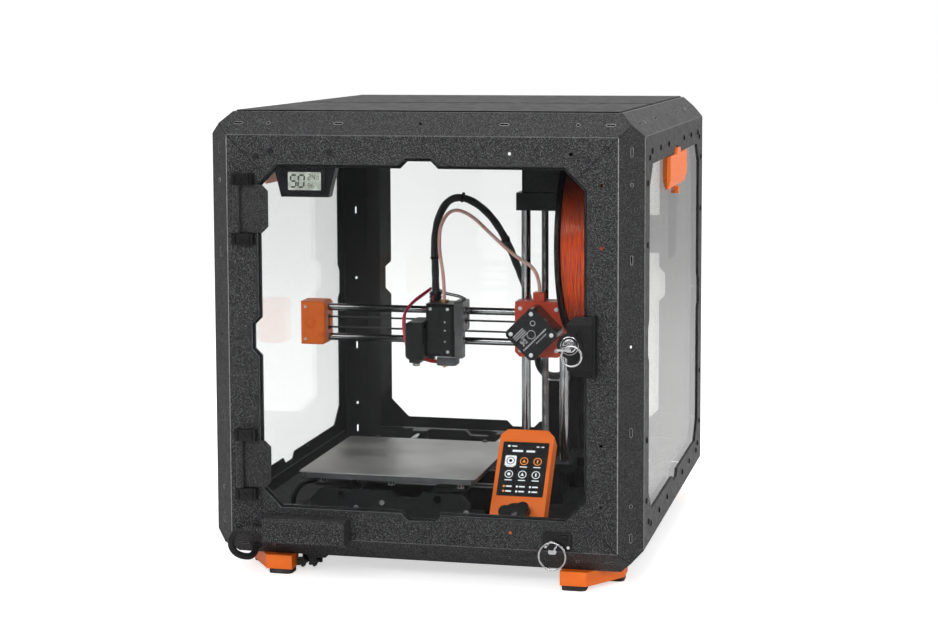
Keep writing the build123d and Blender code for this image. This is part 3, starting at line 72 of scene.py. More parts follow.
# ------------------------------------------------------------- forms
def placed(origin, across=(1, 0, 0), up=(0, 1, 0)):
    """Matrix of a local frame: x runs across, y runs up, z stands out of them."""
    x = Vector(across).normalized()
    y = Vector(up).normalized()
    place = Matrix((x, y, x.cross(y))).transposed().to_4x4()
    place.translation = Vector(origin)
    return place


def facing_front(x, y, z):
    return placed((x, y, z), (1, 0, 0), (0, 0, 1))


def inset(outline, by):
    """The outline moved inward by that much, along its corners' bisectors."""
    moved = []
    count = len(outline)
    ring = [Vector(point) for point in outline]
    turn = sum(ring[i].x * ring[(i + 1) % count].y - ring[(i + 1) % count].x * ring[i].y
               for i in range(count))
    side = 1 if turn > 0 else -1
    for i, here in enumerate(ring):
        back = (here - ring[i - 1]).normalized()
        ahead = (ring[(i + 1) % count] - here).normalized()
        normal_back = Vector((-back.y, back.x)) * side
        normal_ahead = Vector((-ahead.y, ahead.x)) * side
        bisector = normal_back + normal_ahead
        reach = by / max(0.3, bisector.length / 2)
        moved.append(here + bisector.normalized() * reach)
    return moved


def oblong(wide, tall, cut):
    """Rectangle round the origin with its corners cut off."""
    a, b = wide / 2, tall / 2
    return [(a - cut, -b), (a, cut - b), (a, b - cut), (a - cut, b),
            (cut - a, b), (-a, b - cut), (-a, cut - b), (cut - a, -b)]


def circle(radius, sides):
    return [(radius * cos(2 * pi * i / sides), radius * sin(2 * pi * i / sides)) for i in range(sides)]


def level(outline, z):
    return [(p[0], p[1], z) for p in outline]


class Shape:
    """Points and faces of one piece, gathered from several forms, in millimetres."""

    def __init__(self, place=Matrix.Identity(4)):
        self.points = []
        self.faces = []
        self.slots = []
        self.runs = []
        self.place = place
        self.slot = 0

    def add(self, points, faces, runs=None):
        start = len(self.points)
        self.points += [self.place @ Vector(p) for p in points]
        self.faces += [[start + i for i in face] for face in faces]
        self.slots += [self.slot] * len(faces)
        self.runs += runs or [[(0, 0)] * len(face) for face in faces]

    def skin(self, rows, looped=False):
        """Surface over rings of points, closed at both ends or joined into a loop."""
        count = len(rows[0])
        faces = []
        for i in range(len(rows) if looped else len(rows) - 1):
            a = i * count
            b = (i + 1) % len(rows) * count
            for j in range(count):
                k = (j + 1) % count
                faces.append([a + j, a + k, b + k, b + j])
        if not looped:
            faces.append(list(range(count)))
            faces.append([(len(rows) - 1) * count + j for j in range(count)])
        self.add([p for row in rows for p in row], faces)

    def prism(self, outline, low, high, edge=0.0):
        """Outline raised from low to high, with its upper edge broken."""
        rows = [level(outline, low), level(outline, high - edge)]
        if edge:
            rows.append(level(inset(outline, edge), high))
        self.skin(rows)

    def plate(self, x, y, wide, tall, cut, low, high, edge=0.0):
        """Flat oblong with cut corners, centred on x, y."""
        self.prism([(u + x, v + y) for u, v in oblong(wide, tall, cut)], low, high, edge)

    def band(self, outer, inner, low, high, inner_high=None):
        """Flat band between two outlines of as many points."""
        top = high if inner_high is None else inner_high
        self.skin([[(*o, low), (*o, high), (*i, top), (*i, low)] for o, i in zip(outer, inner)],
                  looped=True)

    def block(self, x0, x1, y0, y1, z0, z1, edge):
        """Box with every edge broken."""
        outline = [(x + (x0 + x1) / 2, y + (y0 + y1) / 2) for x, y in oblong(x1 - x0, y1 - y0, edge)]
        small = inset(outline, edge)
        self.skin([level(small, z0), level(outline, z0 + edge),
                   level(outline, z1 - edge), level(small, z1)])

    def turned(self, profile, sides=24):
        """Profile of (radius, height) pairs turned about the local z axis."""
        self.skin([level(circle(radius, sides), z) for radius, z in profile])

    def ring(self, radius, wire, sides=48, facets=12):
        """Wire ring about the local z axis."""
        rows = []
        for i in range(sides):
            turn = 2 * pi * i / sides
            rows.append([((radius + u) * cos(turn), (radius + u) * sin(turn), v)
                         for u, v in circle(wire, facets)])
        self.skin(rows, looped=True)

    def screw(self, x, y, radius=1.5, tall=1.2):
        """Cap screw with a hexagon socket, standing on the local plane."""
        profile = ((1.0, 0.0), (1.0, 0.75), (0.86, 1.0), (0.55, 1.0), (0.52, 0.35))
        self.skin([[(u + x, v + y, tall * height) for u, v in circle(radius * share, 20)]
                   for share, height in profile])

    def sweep(self, path, radius, sides=14):
        """Round cord along a path; radius is a number or a function of the way along it."""
        steps = [(b - a).normalized() for a, b in zip(path, path[1:])]
        tangents = [steps[0]] + [(a + b).normalized() for a, b in zip(steps, steps[1:])] + [steps[-1]]
        across = tangents[0].orthogonal().normalized()
        rows = []
        along = [0.0]
        for a, b in zip(path, path[1:]):
            along.append(along[-1] + (b - a).length)
        for point, tangent, run in zip(path, tangents, along):
            across = (across - tangent * across.dot(tangent)).normalized()
            beside = tangent.cross(across)
            r = radius(run) if callable(radius) else radius
            rows.append([point + (across * cos(t) + beside * sin(t)) * r
                         for t in (2 * pi * i / sides for i in range(sides))])
        faces = []
        runs = []
        for i in range(len(rows) - 1):
            for j in range(sides):
                k = (j + 1) % sides
                near, far = i * sides, (i + 1) * sides
                faces.append([near + j, near + k, far + k, far + j])
                runs.append([(along[i], j / sides), (along[i], (j + 1) / sides),
                             (along[i + 1], (j + 1) / sides), (along[i + 1], j / sides)])
        faces += [list(range(sides)), [(len(rows) - 1) * sides + j for j in range(sides)]]
        runs += [[(0, 0)] * sides] * 2
        self.add([p for row in rows for p in row], faces, runs)


def route_path(points, per_span=14):
    """Points along the NURBS curve that a cable's route controls."""
    curve = bpy.data.curves.new("guide", "CURVE")
    curve.dimensions = "3D"
    curve.resolution_u = per_span
    spline = curve.splines.new("NURBS")
    spline.points.add(len(points) - 1)
    for control, point in zip(spline.points, points):
        control.co = (*point, 1)
    spline.order_u = 3
    spline.use_endpoint_u = True
    guide = bpy.data.objects.new("guide", curve)
    mesh = bpy.data.meshes.new_from_object(guide)
    path = [v.co.copy() for v in mesh.vertices]
    bpy.data.objects.remove(guide)
    bpy.data.curves.remove(curve)
    bpy.data.meshes.remove(mesh)
    return path


def make(name, shape, body, slot, *materials, sharp=35.0):
    """A piece from a shape; body None leaves it free, for a piece that bends."""
    mesh = bpy.data.meshes.new(name)
    mesh.from_pydata([p * MM for p in shape.points], [], shape.faces)
    run = mesh.uv_layers.new(name="run")
    run.data.foreach_set("uv", [value for corner in shape.runs for pair in corner for value in pair])
    form = bmesh.new()
    form.from_mesh(mesh)
    bmesh.ops.recalc_face_normals(form, faces=form.faces)
    form.to_mesh(mesh)
    form.free()
    for material in materials:
        mesh.materials.append(material)
    mesh.polygons.foreach_set("material_index", shape.slots)
    mesh.shade_smooth()
    mesh.set_sharp_from_angle(angle=radians(sharp))
    piece = bpy.data.objects.new(name, mesh)
    SCENE.collection.objects.link(piece)
    if body:
        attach(piece, body)
    return piece


# ------------------------------------------------------------- material nodes
class Surface:
    """One material with a Principled shader; short calls add its layers."""

    def __init__(self, name, colour, roughness, settings=None):
        self.material = bpy.data.materials.new(name)
        self.material.use_nodes = True
        self.tree = self.material.node_tree
        self.shader = self.tree.nodes["Principled BSDF"]
        self.output = self.tree.nodes["Material Output"]
        self.shader.inputs["Base Color"].default_value = (*colour, 1)
        self.shader.inputs["Roughness"].default_value = roughness
        for key, value in (settings or {}).items():
            self.shader.inputs[key].default_value = value
        self.colour = (*colour, 1)
        self.roughness = roughness
        self.normal = None
        self.where = self.node("ShaderNodeTexCoord").outputs["Object"]

    def node(self, kind, inputs=None, **options):
        node = self.tree.nodes.new(kind)
        for key, value in options.items():
            setattr(node, key, value)
        for key, value in (inputs or {}).items():
            if isinstance(value, bpy.types.NodeSocket):
                self.tree.links.new(value, node.inputs[key])
            else:
                node.inputs[key].default_value = value
        return node

    def math(self, operation, value, *others):
        """The operation on two values, or on one after the other of several."""
        for other in others or (0.0,):
            value = self.node("ShaderNodeMath", {0: value, 1: other}, operation=operation).outputs[0]
        return value

    def noise(self, scale, detail=3.0, stretch=None):
        where = self.where
        if stretch:
            where = self.node("ShaderNodeVectorMath", {0: where, 1: stretch},
                              operation="MULTIPLY").outputs[0]
        return self.node("ShaderNodeTexNoise", {"Vector": where, "Scale": scale,
                                                "Detail": detail}).outputs["Fac"]

    def cells(self, scale):
        return self.node("ShaderNodeTexVoronoi", {"Vector": self.where, "Scale": scale}).outputs["Distance"]

    def ramp(self, value, low, high, start=0.0, end=1.0):
        """Smooth step of value from start at low to end at high."""
        return self.node("ShaderNodeMapRange", {"Value": value, "From Min": low, "From Max": high,
                                                "To Min": start, "To Max": end},
                         interpolation_type="SMOOTHSTEP").outputs[0]

    def soften(self, radius):
        """Normals that run round sharp edges, as if broken by that many millimetres."""
        self.normal = self.node("ShaderNodeBevel", {"Radius": radius * MM}, samples=4).outputs[0]
        self.tree.links.new(self.normal, self.shader.inputs["Normal"])
        return self

    def xyz(self, vector=None):
        """Three parts of a vector, or of the place on the object."""
        return self.node("ShaderNodeSeparateXYZ", {0: vector or self.where}).outputs

    def tint(self, factor, colour):
        """Mixes colour over what is there by factor."""
        mix = self.node("ShaderNodeMix", {0: factor, 6: self.colour, 7: (*colour, 1)}, data_type="RGBA")
        self.colour = mix.outputs[2]
        self.tree.links.new(self.colour, self.shader.inputs["Base Color"])
        return self

    def polish(self, factor, roughness):
        """Roughness that changes from what it was to this by factor."""
        mix = self.node("ShaderNodeMix", {0: factor, 2: self.roughness, 3: roughness})
        self.roughness = mix.outputs[0]
        self.tree.links.new(self.roughness, self.shader.inputs["Roughness"])
        return self

    def mottle(self, scale, low, high, colour):
        """Tints the patches where a noise of that scale runs high."""
        return self.tint(self.ramp(self.noise(scale), low, high), colour)

    def wear(self, scale, low, high, roughness):
        """Changes the roughness of the patches where a noise of that scale runs high."""
        return self.polish(self.ramp(self.noise(scale), low, high), roughness)

    def grain(self, scale, distance, strength, detail=3.0):
        """Last layer of a material: relief of a fine noise."""
        return self.bump(self.noise(scale, detail), distance, strength).material

    def bump(self, height, distance, strength=1.0):
        """Relief of that depth, in millimetres."""
        inputs = {"Height": height, "Distance": distance * MM, "Strength": strength}
        if self.normal:
            inputs["Normal"] = self.normal
        self.normal = self.node("ShaderNodeBump", inputs).outputs[0]
        self.tree.links.new(self.normal, self.shader.inputs["Normal"])
        return self


# ------------------------------------------------------------- materials
def shade(colour, share, lift=0.0):
    return tuple(v * share + lift for v in colour)


fold_width = 22.0
rail_low, rail_high = corners("front_rails")
post_low, post_high = corners("front_posts")
back_high = corners("back_frame")[1]
half_size = Vector(((post_high.x - post_low.x) / 2, (back_high.y - post_low.y) / 2,
                    (rail_high.z - rail_low.z) / 2))
cabinet_mid = Vector((0, (back_high.y + post_low.y) / 2, (rail_high.z + rail_low.z) / 2))


def coated(name):
    """Black powder coat: fine texture with light speckle."""
    surface = Surface(name, (0.007, 0.0071, 0.0075), 0.45, {"Specular IOR Level": 0.22})
    surface.soften(0.6)
    surface.tint(surface.ramp(surface.noise(700, 1.0), 0.4, 0.7), (0.018, 0.0182, 0.019))
    surface.tint(surface.ramp(surface.noise(1900, 0.0), 0.58, 0.72, 0.0, 0.9), (0.15, 0.15, 0.154))
    surface.wear(160, 0.3, 0.7, 0.56)
    return surface.bump(surface.noise(1500, 2.0), 0.05, 0.5)


def frame_coat():
    """Coat of the bent frame, with a painted highlight along the bends, brighter on the upright ones, and a
    dark groove at each mitre.
    """
    surface = coated("frame_coat")
    math = surface.math
    depths = []
    for axis, output in enumerate(surface.xyz()):
        off_mid = math("ABSOLUTE", math("SUBTRACT", output, cabinet_mid[axis] * MM))
        depths.append(math("SUBTRACT", half_size[axis] * MM, off_mid))
    least = math("MINIMUM", *depths)
    most = math("MAXIMUM", *depths)
    between = math("SUBTRACT", math("ADD", *depths), least, most)
    off_bend = math("SUBTRACT", between, fold_width * MM)
    reach = math("SQRT", math("ADD", math("POWER", off_bend, 2.0), math("POWER", least, 2.0)))
    # painted highlight along the bends: patchy, stronger on upright bends than on level ones, with a
    # smoother gloss there
    bend_highlight = surface.ramp(reach, 0.8 * MM, 0.2 * MM)
    upright = surface.ramp(math("SUBTRACT", most, depths[2]), 1.0 * MM, 0.0, 0.25, 0.8)
    patchy = surface.ramp(surface.noise(300), 0.3, 0.6, 0.5, 1.0)
    bend_highlight = math("MULTIPLY", upright, patchy, bend_highlight)
    surface.tint(bend_highlight, (0.34, 0.34, 0.35))
    surface.polish(bend_highlight, 0.3)
    groove = surface.ramp(math("SUBTRACT", most, between), 0.75 * MM, 0.25 * MM)
    surface.tint(groove, (0.004, 0.004, 0.004))
    return surface.material


def satin_sheet(name, colour, roughness):
    """Painted flat sheet with faint rolling marks and dust."""
    surface = Surface(name, colour, roughness, {"Specular IOR Level": 0.08})
    surface.mottle(60, 0.35, 0.7, shade(colour, 1.7))
    surface.wear(90, 0.3, 0.7, roughness * 0.8)
    return surface.grain(1100, 0.008, 0.5, 2.0)


def printed(name, colour, deep, roughness=0.5):
    """Printed plastic: stacked layer lines, a slightly uneven gloss."""
    layer = 0.35
    surface = Surface(name, colour, roughness, {"Specular IOR Level": 0.45})
    surface.soften(0.8)
    height = surface.xyz()[2]
    wave = surface.math("SINE", surface.math("MULTIPLY", height, 2 * pi / (layer * MM)))
    surface.tint(surface.ramp(surface.noise(70), 0.35, 0.75, 0.0, 0.5), deep)
    surface.tint(surface.ramp(wave, 0.2, -1.0, 0.0, 0.16), deep)
    surface.polish(surface.ramp(surface.noise(120, stretch=(1, 1, 6)), 0.3, 0.7), roughness * 0.72)
    surface.bump(wave, 0.005, 0.8)
    return surface.grain(500, 0.01, 0.25)


def moulded(name, colour, roughness, grain=0.006):
    """Moulded plastic with a fine spark-eroded grain."""
    surface = Surface(name, colour, roughness, {"Specular IOR Level": 0.2})
    surface.soften(0.5)
    surface.mottle(55, 0.35, 0.75, shade(colour, 1.5, 0.002))
    surface.wear(140, 0.3, 0.7, roughness * 0.75)
    return surface.grain(1300, grain, 0.6, 2.0)


def clear_sheet(name, edge_axis, tint, veil):
    """Clear sheet: see-through by angle, with frosted edges across edge_axis faces."""
    surface = Surface(name, (0.2, 0.21, 0.212), 0.3)
    smudge = surface.ramp(surface.noise(14), 0.45, 0.8, 0.015, 0.05)
    through = surface.node("ShaderNodeBsdfTransparent", {"Color": (*tint, 1)})
    gloss = surface.node("ShaderNodeBsdfGlossy", {"Color": (1, 1, 1, 1), "Roughness": smudge})
    slant_to_eye = surface.node("ShaderNodeLayerWeight", {"Blend": 0.5}).outputs["Facing"]
    mirror = surface.math("MULTIPLY", surface.math("POWER", slant_to_eye, 5.0), 0.9)
    mirror = surface.math("ADD", mirror, veil)
    face = surface.node("ShaderNodeMixShader", {0: mirror, 1: through.outputs[0], 2: gloss.outputs[0]})
    normal = surface.xyz(surface.node("ShaderNodeTexCoord").outputs["Normal"])
    slope = surface.math("ABSOLUTE", normal[edge_axis])
    edge = surface.ramp(slope, 0.6, 0.5) if edge_axis == 1 else surface.ramp(slope, 0.5, 0.6)
    surface.mottle(300, 0.3, 0.7, (0.07, 0.074, 0.075))
    whole = surface.node("ShaderNodeMixShader", {0: edge, 1: face.outputs[0],
                                                 2: surface.shader.outputs[0]})
    surface.tree.links.new(whole.outputs[0], surface.output.inputs["Surface"])
    return surface.material


def rubber():
    surface = Surface("rubber", (0.018, 0.018, 0.019), 0.75)
    surface.mottle(90, 0.4, 0.75, (0.05, 0.05, 0.05))
    return surface.grain(900, 0.08, 0.6)


def metal(name, colour, roughness, stretch=(1, 1, 1)):
    """Bare metal with fine drawing or grinding marks along the stretched way."""
    surface = Surface(name, colour, roughness, {"Metallic": 1.0})
    marks = surface.noise(900, 2.0, stretch)
    surface.mottle(70, 0.35, 0.75, shade(colour, 0.72))
    surface.polish(surface.ramp(marks, 0.3, 0.7), roughness * 1.25)
    return surface.bump(marks, 0.002, 0.5).material


def print_sheet():
    """Satin textured print sheet, partly metallic, with pale specks and broad patches of wear."""
    surface = Surface("print_sheet", (0.4, 0.398, 0.39), 0.28, {"Metallic": 0.75})
    surface.mottle(16, 0.35, 0.7, (0.5, 0.497, 0.49))
    surface.tint(surface.ramp(surface.cells(1500), 0.3, 0.1, 0.0, 0.5), (0.42, 0.42, 0.41))
    surface.wear(10, 0.35, 0.7, 0.5)
    return surface.grain(1700, 0.012, 0.7, 2.0)


def hot_end_metal():
    """Machined aluminium, with brass where the nozzle and the upper fitting are."""
    surface = Surface("hot_end_metal", (0.55, 0.55, 0.56), 0.3, {"Metallic": 1.0})
    low, high = corners("hotend")
    height = surface.xyz()[2]
    upper = surface.ramp(height, (high.z - 12) * MM, (high.z - 11.4) * MM)
    lower = surface.ramp(height, (low.z + 4.0) * MM, (low.z + 3.4) * MM)
    surface.mottle(200, 0.3, 0.7, (0.38, 0.38, 0.4))
    surface.tint(surface.math("MAXIMUM", upper, lower), (0.66, 0.43, 0.13))
    surface.wear(600, 0.3, 0.7, 0.42)
    return surface.grain(1200, 0.004, 0.5)


def braided(name, colour, thread):
    """Braided sleeve: two crossing families of threads along the cord's own run."""
    pitch, strands = 2.4, 9
    surface = Surface(name, colour, 0.62, {"Sheen Weight": 0.25})
    run = surface.xyz(surface.node("ShaderNodeUVMap", uv_map="run").outputs["UV"])
    along = surface.math("MULTIPLY", run[0], 2 * pi / pitch)
    around = surface.math("MULTIPLY", run[1], 2 * pi * strands)
    one_way = surface.math("SINE", surface.math("ADD", along, around))
    other_way = surface.math("SINE", surface.math("SUBTRACT", along, around))
    weave = surface.math("MULTIPLY", one_way, other_way)
    surface.tint(surface.ramp(weave, -0.2, 0.9), thread)
    surface.tint(surface.ramp(surface.noise(900), 0.62, 0.72, 0.0, 0.7), (0.16, 0.16, 0.16))
    return surface.bump(weave, 0.25, 0.8).material


def tubing():
    """Milky tube that lets some light through, tinted warm by the filament in it."""
    surface = Surface("ptfe_tube", (0.85, 0.45, 0.39), 0.28, {"Subsurface Weight": 0.5,
                                                            "Subsurface Scale": 0.003})
    surface.mottle(60, 0.3, 0.7, (0.9, 0.62, 0.56))
    return surface.grain(500, 0.02, 0.3)


def wire(name, colour):
    surface = Surface(name, colour, 0.32)
    surface.mottle(400, 0.3, 0.7, shade(colour, 0.6))
    return surface.grain(900, 0.02, 0.3)


def toothed_belt():
    """Rubber belt with its teeth as relief along the X axis."""
    pitch = 2.0
    surface = Surface("toothed_belt", (0.015, 0.015, 0.016), 0.6)
    along = surface.xyz()[0]
    teeth = surface.math("SINE", surface.math("MULTIPLY", along, 2 * pi / (pitch * MM)))
    surface.tint(surface.ramp(teeth, 0.1, 0.9, 0.0, 0.7), (0.045, 0.045, 0.045))
    return surface.bump(teeth, 0.5, 0.8).material


def wound_filament():
    """Glossy filament, with painted shade in streaks where strands lie in shade of each other, and towards
    the top and bottom of the winding.
    """
    surface = Surface("wound_filament", (1.0, 0.13, 0.022), 0.18,
                      {"Subsurface Weight": 0.25, "Subsurface Scale": 0.004, "Coat Weight": 0.4,
                       "Coat Roughness": 0.12})
    streak = surface.noise(45, 3.0, (24, 1, 1))
    # painted shade in streaks between the strands
    surface.tint(surface.ramp(streak, 0.35, 0.7, 0.0, 0.85), (0.3, 0.014, 0.004))
    low, high = corners("filament")
    height = surface.xyz()[2]
    # painted shade darkening the top of the winding
    upper = surface.ramp(height, (high.z - 95) * MM, (high.z - 15) * MM, 0.0, 0.9)
    surface.tint(upper, (0.08, 0.008, 0.003))
    # painted shade darkening the bottom of the winding
    lower = surface.ramp(height, (low.z + 60) * MM, low.z * MM, 0.0, 0.6)
    surface.tint(lower, (0.25, 0.012, 0.004))
    surface.polish(surface.ramp(streak, 0.3, 0.7), 0.36)
    return surface.bump(surface.noise(300, 2.0, (12, 1, 1)), 0.08, 0.4).material


def glowing(name, colour, strength):
    """Lit display area with a faint pixel grain."""
    surface = Surface(name, shade(colour, 0.5), 0.3,
                      {"Emission Color": (*colour, 1), "Emission Strength": strength})
    surface.mottle(1500, 0.4, 0.6, shade(colour, 0.42))
    return surface.material


def smoked_glass(name, colour, roughness):
    surface = Surface(name, colour, roughness, {"Coat Weight": 0.8, "Coat Roughness": 0.06})
    surface.mottle(120, 0.4, 0.7, shade(colour, 1.6, 0.001))
    return surface.grain(30, 0.02, 0.2)


FRAME_COAT = frame_coat()
COAT = coated("black_coat").material
COVER = satin_sheet("cover_sheet", (0.006, 0.006, 0.0065), 0.5)
FLOOR_SHEET = satin_sheet("floor_sheet", (0.02, 0.02, 0.021), 0.36)
ORANGE = printed("orange_print", (0.98, 0.19, 0.01), (0.95, 0.14, 0.007))
DEEP_ORANGE = printed("deep_orange_print", (0.7, 0.05, 0.008), (0.55, 0.035, 0.006), 0.4)
DARK_PRINT = printed("dark_print", (0.008, 0.008, 0.0085), (0.016, 0.016, 0.017), 0.5)
PLASTIC = moulded("black_plastic", (0.006, 0.006, 0.0065), 0.36)
GLOSS_PLASTIC = moulded("gloss_black_plastic", (0.009, 0.009, 0.01), 0.18, 0.004)
GREY_PLASTIC = moulded("grey_plastic", (0.09, 0.09, 0.092), 0.25)
DOOR_SHEET = clear_sheet("door_sheet", 1, (0.97, 0.98, 0.98), 0.004)
PANE_SHEET = clear_sheet("pane_sheet", 2, (0.905, 0.905, 0.9), 0.03)
RUBBER = rubber()
GROUND_STEEL = metal("ground_steel", (0.42, 0.42, 0.43), 0.12, (1, 1, 0.08))
ROD_STEEL = metal("rod_steel", (0.36, 0.36, 0.37), 0.12, (0.08, 1, 1))
BLACK_STEEL = metal("black_steel", (0.05, 0.05, 0.053), 0.3)
CHROME = metal("chrome", (0.55, 0.55, 0.56), 0.14)
ZINC = metal("zinc_steel", (0.8, 0.8, 0.81), 0.36)
BLACK_ALUMINIUM = metal("black_aluminium", (0.045, 0.045, 0.048), 0.34, (1, 1, 0.1))
BED_METAL = metal("bed_metal", (0.16, 0.16, 0.165), 0.4)
BRASS = metal("brass", (0.66, 0.43, 0.13), 0.28)
SHEET = print_sheet()
HOT_END = hot_end_metal()
SLEEVE = braided("sleeve", (0.01, 0.01, 0.011), (0.026, 0.025, 0.024))
CABLE = moulded("cable_jacket", (0.012, 0.012, 0.013), 0.38)
TUBING = tubing()
BELT = toothed_belt()
WOUND = wound_filament()
RED_WIRE = wire("red_wire", (0.95, 0.012, 0.016))
PURPLE_WIRE = wire("purple_wire", (0.5, 0.012, 0.07))
RED_SLEEVE = wire("red_sleeve", (0.7, 0.03, 0.012))
LCD_PANEL = smoked_glass("gauge_panel", (0.36, 0.385, 0.33), 0.25)
LCD_INK = smoked_glass("gauge_ink", (0.012, 0.013, 0.013), 0.35)
SCREEN_GLASS = smoked_glass("screen_glass", (0.003, 0.003, 0.004), 0.12)
SCREEN_WHITE = glowing("screen_white", (0.85, 0.87, 0.9), 0.75)
SCREEN_ORANGE = glowing("screen_orange", (0.95, 0.3, 0.04), 0.85)
PALE_INK = satin_sheet("pale_ink", (0.42, 0.42, 0.43), 0.5)
SOCK = moulded("silicone_sock", (0.09, 0.095, 0.1), 0.5)
RIM_STEEL = metal("cut_edge_steel", (0.5, 0.5, 0.5), 0.34)
# near-black flat marks that paint the shade inside the cover slots
SLOT_SHADE = moulded("painted_slot_shade", (0.002, 0.002, 0.002), 0.6)

dress = {
    FRAME_COAT: ["front_posts", "front_rails", "back_frame", "side_rails"],
    COAT: ["hinge_leaves", "connector_box"],
    COVER: ["top_covers"],
    FLOOR_SHEET: ["floor_plate"],
    ORANGE: ["side_handles", "foot_brackets", "x_idler_end", "display_housing"],
    DEEP_ORANGE: ["z_carriage"],
    DARK_PRINT: ["end_plates", "reel_holder", "probe", "print_carriage"],
    PLASTIC: ["lock_housing", "z_top_block", "z_bottom_block", "electronics_box", "fan_shroud", "hotend_fan",
              "reel", "knob", "door_seal", "drive_pulley"],
    GLOSS_PLASTIC: ["hinge_blocks", "latch_plate", "hygrometer", "extruder_motor", "x_motor"],
    GREY_PLASTIC: ["blower"],
    DOOR_SHEET: ["door_panel"],
    PANE_SHEET: ["windows"],
    RUBBER: ["foot_pads"],
    GROUND_STEEL: ["z_rods", "leadscrew", "knob_shaft"],
    ROD_STEEL: ["x_rods", "y_rods"],
    BLACK_STEEL: ["frame_screws", "y_carriage"],
    CHROME: ["lock_plug", "key_ring", "pull_ring"],
    ZINC: ["idler_pulley", "extruder_gear"],
    BLACK_ALUMINIUM: ["tower", "base_beams"],
    BED_METAL: ["bed_plate"],
    SHEET: ["bed_sheet"],
    HOT_END: ["hotend"],
    SLEEVE: ["loom", "gantry_cable"],
    CABLE: ["power_cable", "bed_cable"],
    TUBING: ["filament_tube"],
    BELT: ["x_belt"],
    WOUND: ["filament"],
}
for material, names in dress.items():
    for node_name in names:
        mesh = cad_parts[node_name].data
        mesh.materials.clear()
        mesh.materials.append(material)
        mesh.polygons.foreach_set("material_index", [0] * len(mesh.polygons))


# ------------------------------------------------------------- cables
nozzle = Vector((-36.0, 21.1, 173.0))

loom_route = [
    (-50.0, 39.1, 253.5), (-50.0, 39.1, 275.0), (-52.0, 40.1, 307.0), (-47.0, 41.1, 337.0),
    (-34.0, 42.1, 356.0), (-14.0, 43.1, 356.0), (8.0, 49.1, 339.0), (24.0, 59.1, 311.0),
    (32.0, 77.1, 281.0), (40.0, 91.1, 252.0), (46.0, 93.1, 223.0), (46.0, 75.1, 223.0)]
tube_route = [
    (-36.0, 21.1, 247.0), (-36.0, 21.1, 271.0), (-42.0, 22.1, 301.0), (-41.0, 24.1, 329.0),
    (-28.0, 27.1, 346.0), (-8.0, 30.1, 339.0), (14.0, 33.1, 317.0), (38.0, 35.1, 295.0),
    (66.0, 36.1, 279.0), (66.0, 36.1, 256.0)]
gantry_route = [
    (56.0, 72.1, 191.0), (56.0, 72.1, 173.0), (62.0, 81.1, 159.0), (76.0, 91.1, 155.0),
    (91.0, 101.1, 161.0), (95.0, 117.1, 167.0), (95.0, 133.1, 167.0)]
bed_route = [
    (-132.3, -119.9, 76.0), (-144.3, -119.9, 76.0), (-156.3, -125.9, 69.5), (-162.3, -125.9, 52.5),
    (-162.3, -111.9, 35.0), (-159.3, -85.9, 27.5), (-154.3, -55.9, 28.0), (-148.3, -24.9, 35.0),
    (-140.3, -20.9, 43.0), (-132.0, -20.9, 43.0)]
power_route = [
    (-155.0, -233.9, 48.5), (-183.0, -233.9, 48.5), (-191.0, -233.9, 39.0), (-190.0, -232.4, 27.0),
    (-182.0, -227.9, 20.0), (-172.0, -218.9, 18.0), (-172.0, -211.8, 25.1)]


def tie(shape, path, share, radius, slot):
    """Cable tie round a cord at that share of its path."""
    at = int(share * (len(path) - 1))
    along = (path[min(at + 1, len(path) - 1)] - path[max(at - 1, 0)]).normalized()
    across = along.orthogonal().normalized()
    shape.slot = slot
    shape.place = placed(path[at], across, along.cross(across))
    shape.turned([(radius + 0.1, -1.3), (radius + 0.75, -1.0), (radius + 0.75, 1.0), (radius + 0.1, 1.3)])
    shape.block(radius + 0.4, radius + 2.6, -2.0, 2.0, -1.6, 1.6, 0.5)
    shape.place = Matrix.Identity(4)
    shape.slot = 0


def cord(route, radius, sides):
    """Shape of a round cord along the curve of a route."""
    shape = Shape()
    shape.sweep(route_path(route), radius, sides)
    return shape


def make_loom():
    shape = cord(loom_route, lambda run: 4.05 + 0.15 * sin(run * 0.35), 20)
    for share in (0.1, 0.42, 0.66, 0.93):
        tie(shape, route_path(loom_route), share, 4.2, 1)
    loom = make("loom_sleeve", shape, None, "sleeve", SLEEVE, PLASTIC)
    clamp = Vector(loom_route[0])
    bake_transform(loom)
    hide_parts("loom")


def make_filament_tube():
    tube = make("filament_guide_tube", cord(tube_route, 1.95, 16), None, "ptfe", TUBING)
    Vector(tube_route[-1]) * MM
    Vector(tube_route[0]) * MM
    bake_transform(tube)
    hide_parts("filament_tube")


def make_gantry_cable():
    shape = cord(gantry_route, lambda run: 4.05 + 0.12 * sin(run * 0.4), 20)
    cable = make("gantry_sleeve", shape, None, "sleeve", SLEEVE)
    Vector(gantry_route[-1]) * MM
    Vector(gantry_route[0]) * MM
    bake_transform(cable)
    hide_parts("gantry_cable")


def make_bed_cable():
    cable = make("bed_lead", cord(bed_route, 2.95, 16), None, "sleeve", CABLE)
    Vector(bed_route[-1]) * MM
    Vector(bed_route[0]) * MM
    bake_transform(cable)
    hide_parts("bed_cable")


def make_power_cable():
    cable = make("power_lead", cord(power_route, 3.35, 20), "cabinet", "rubber", CABLE)
    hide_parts("power_cable")


for build in (make_loom, make_filament_tube, make_gantry_cable, make_bed_cable, make_power_cable):
    build()


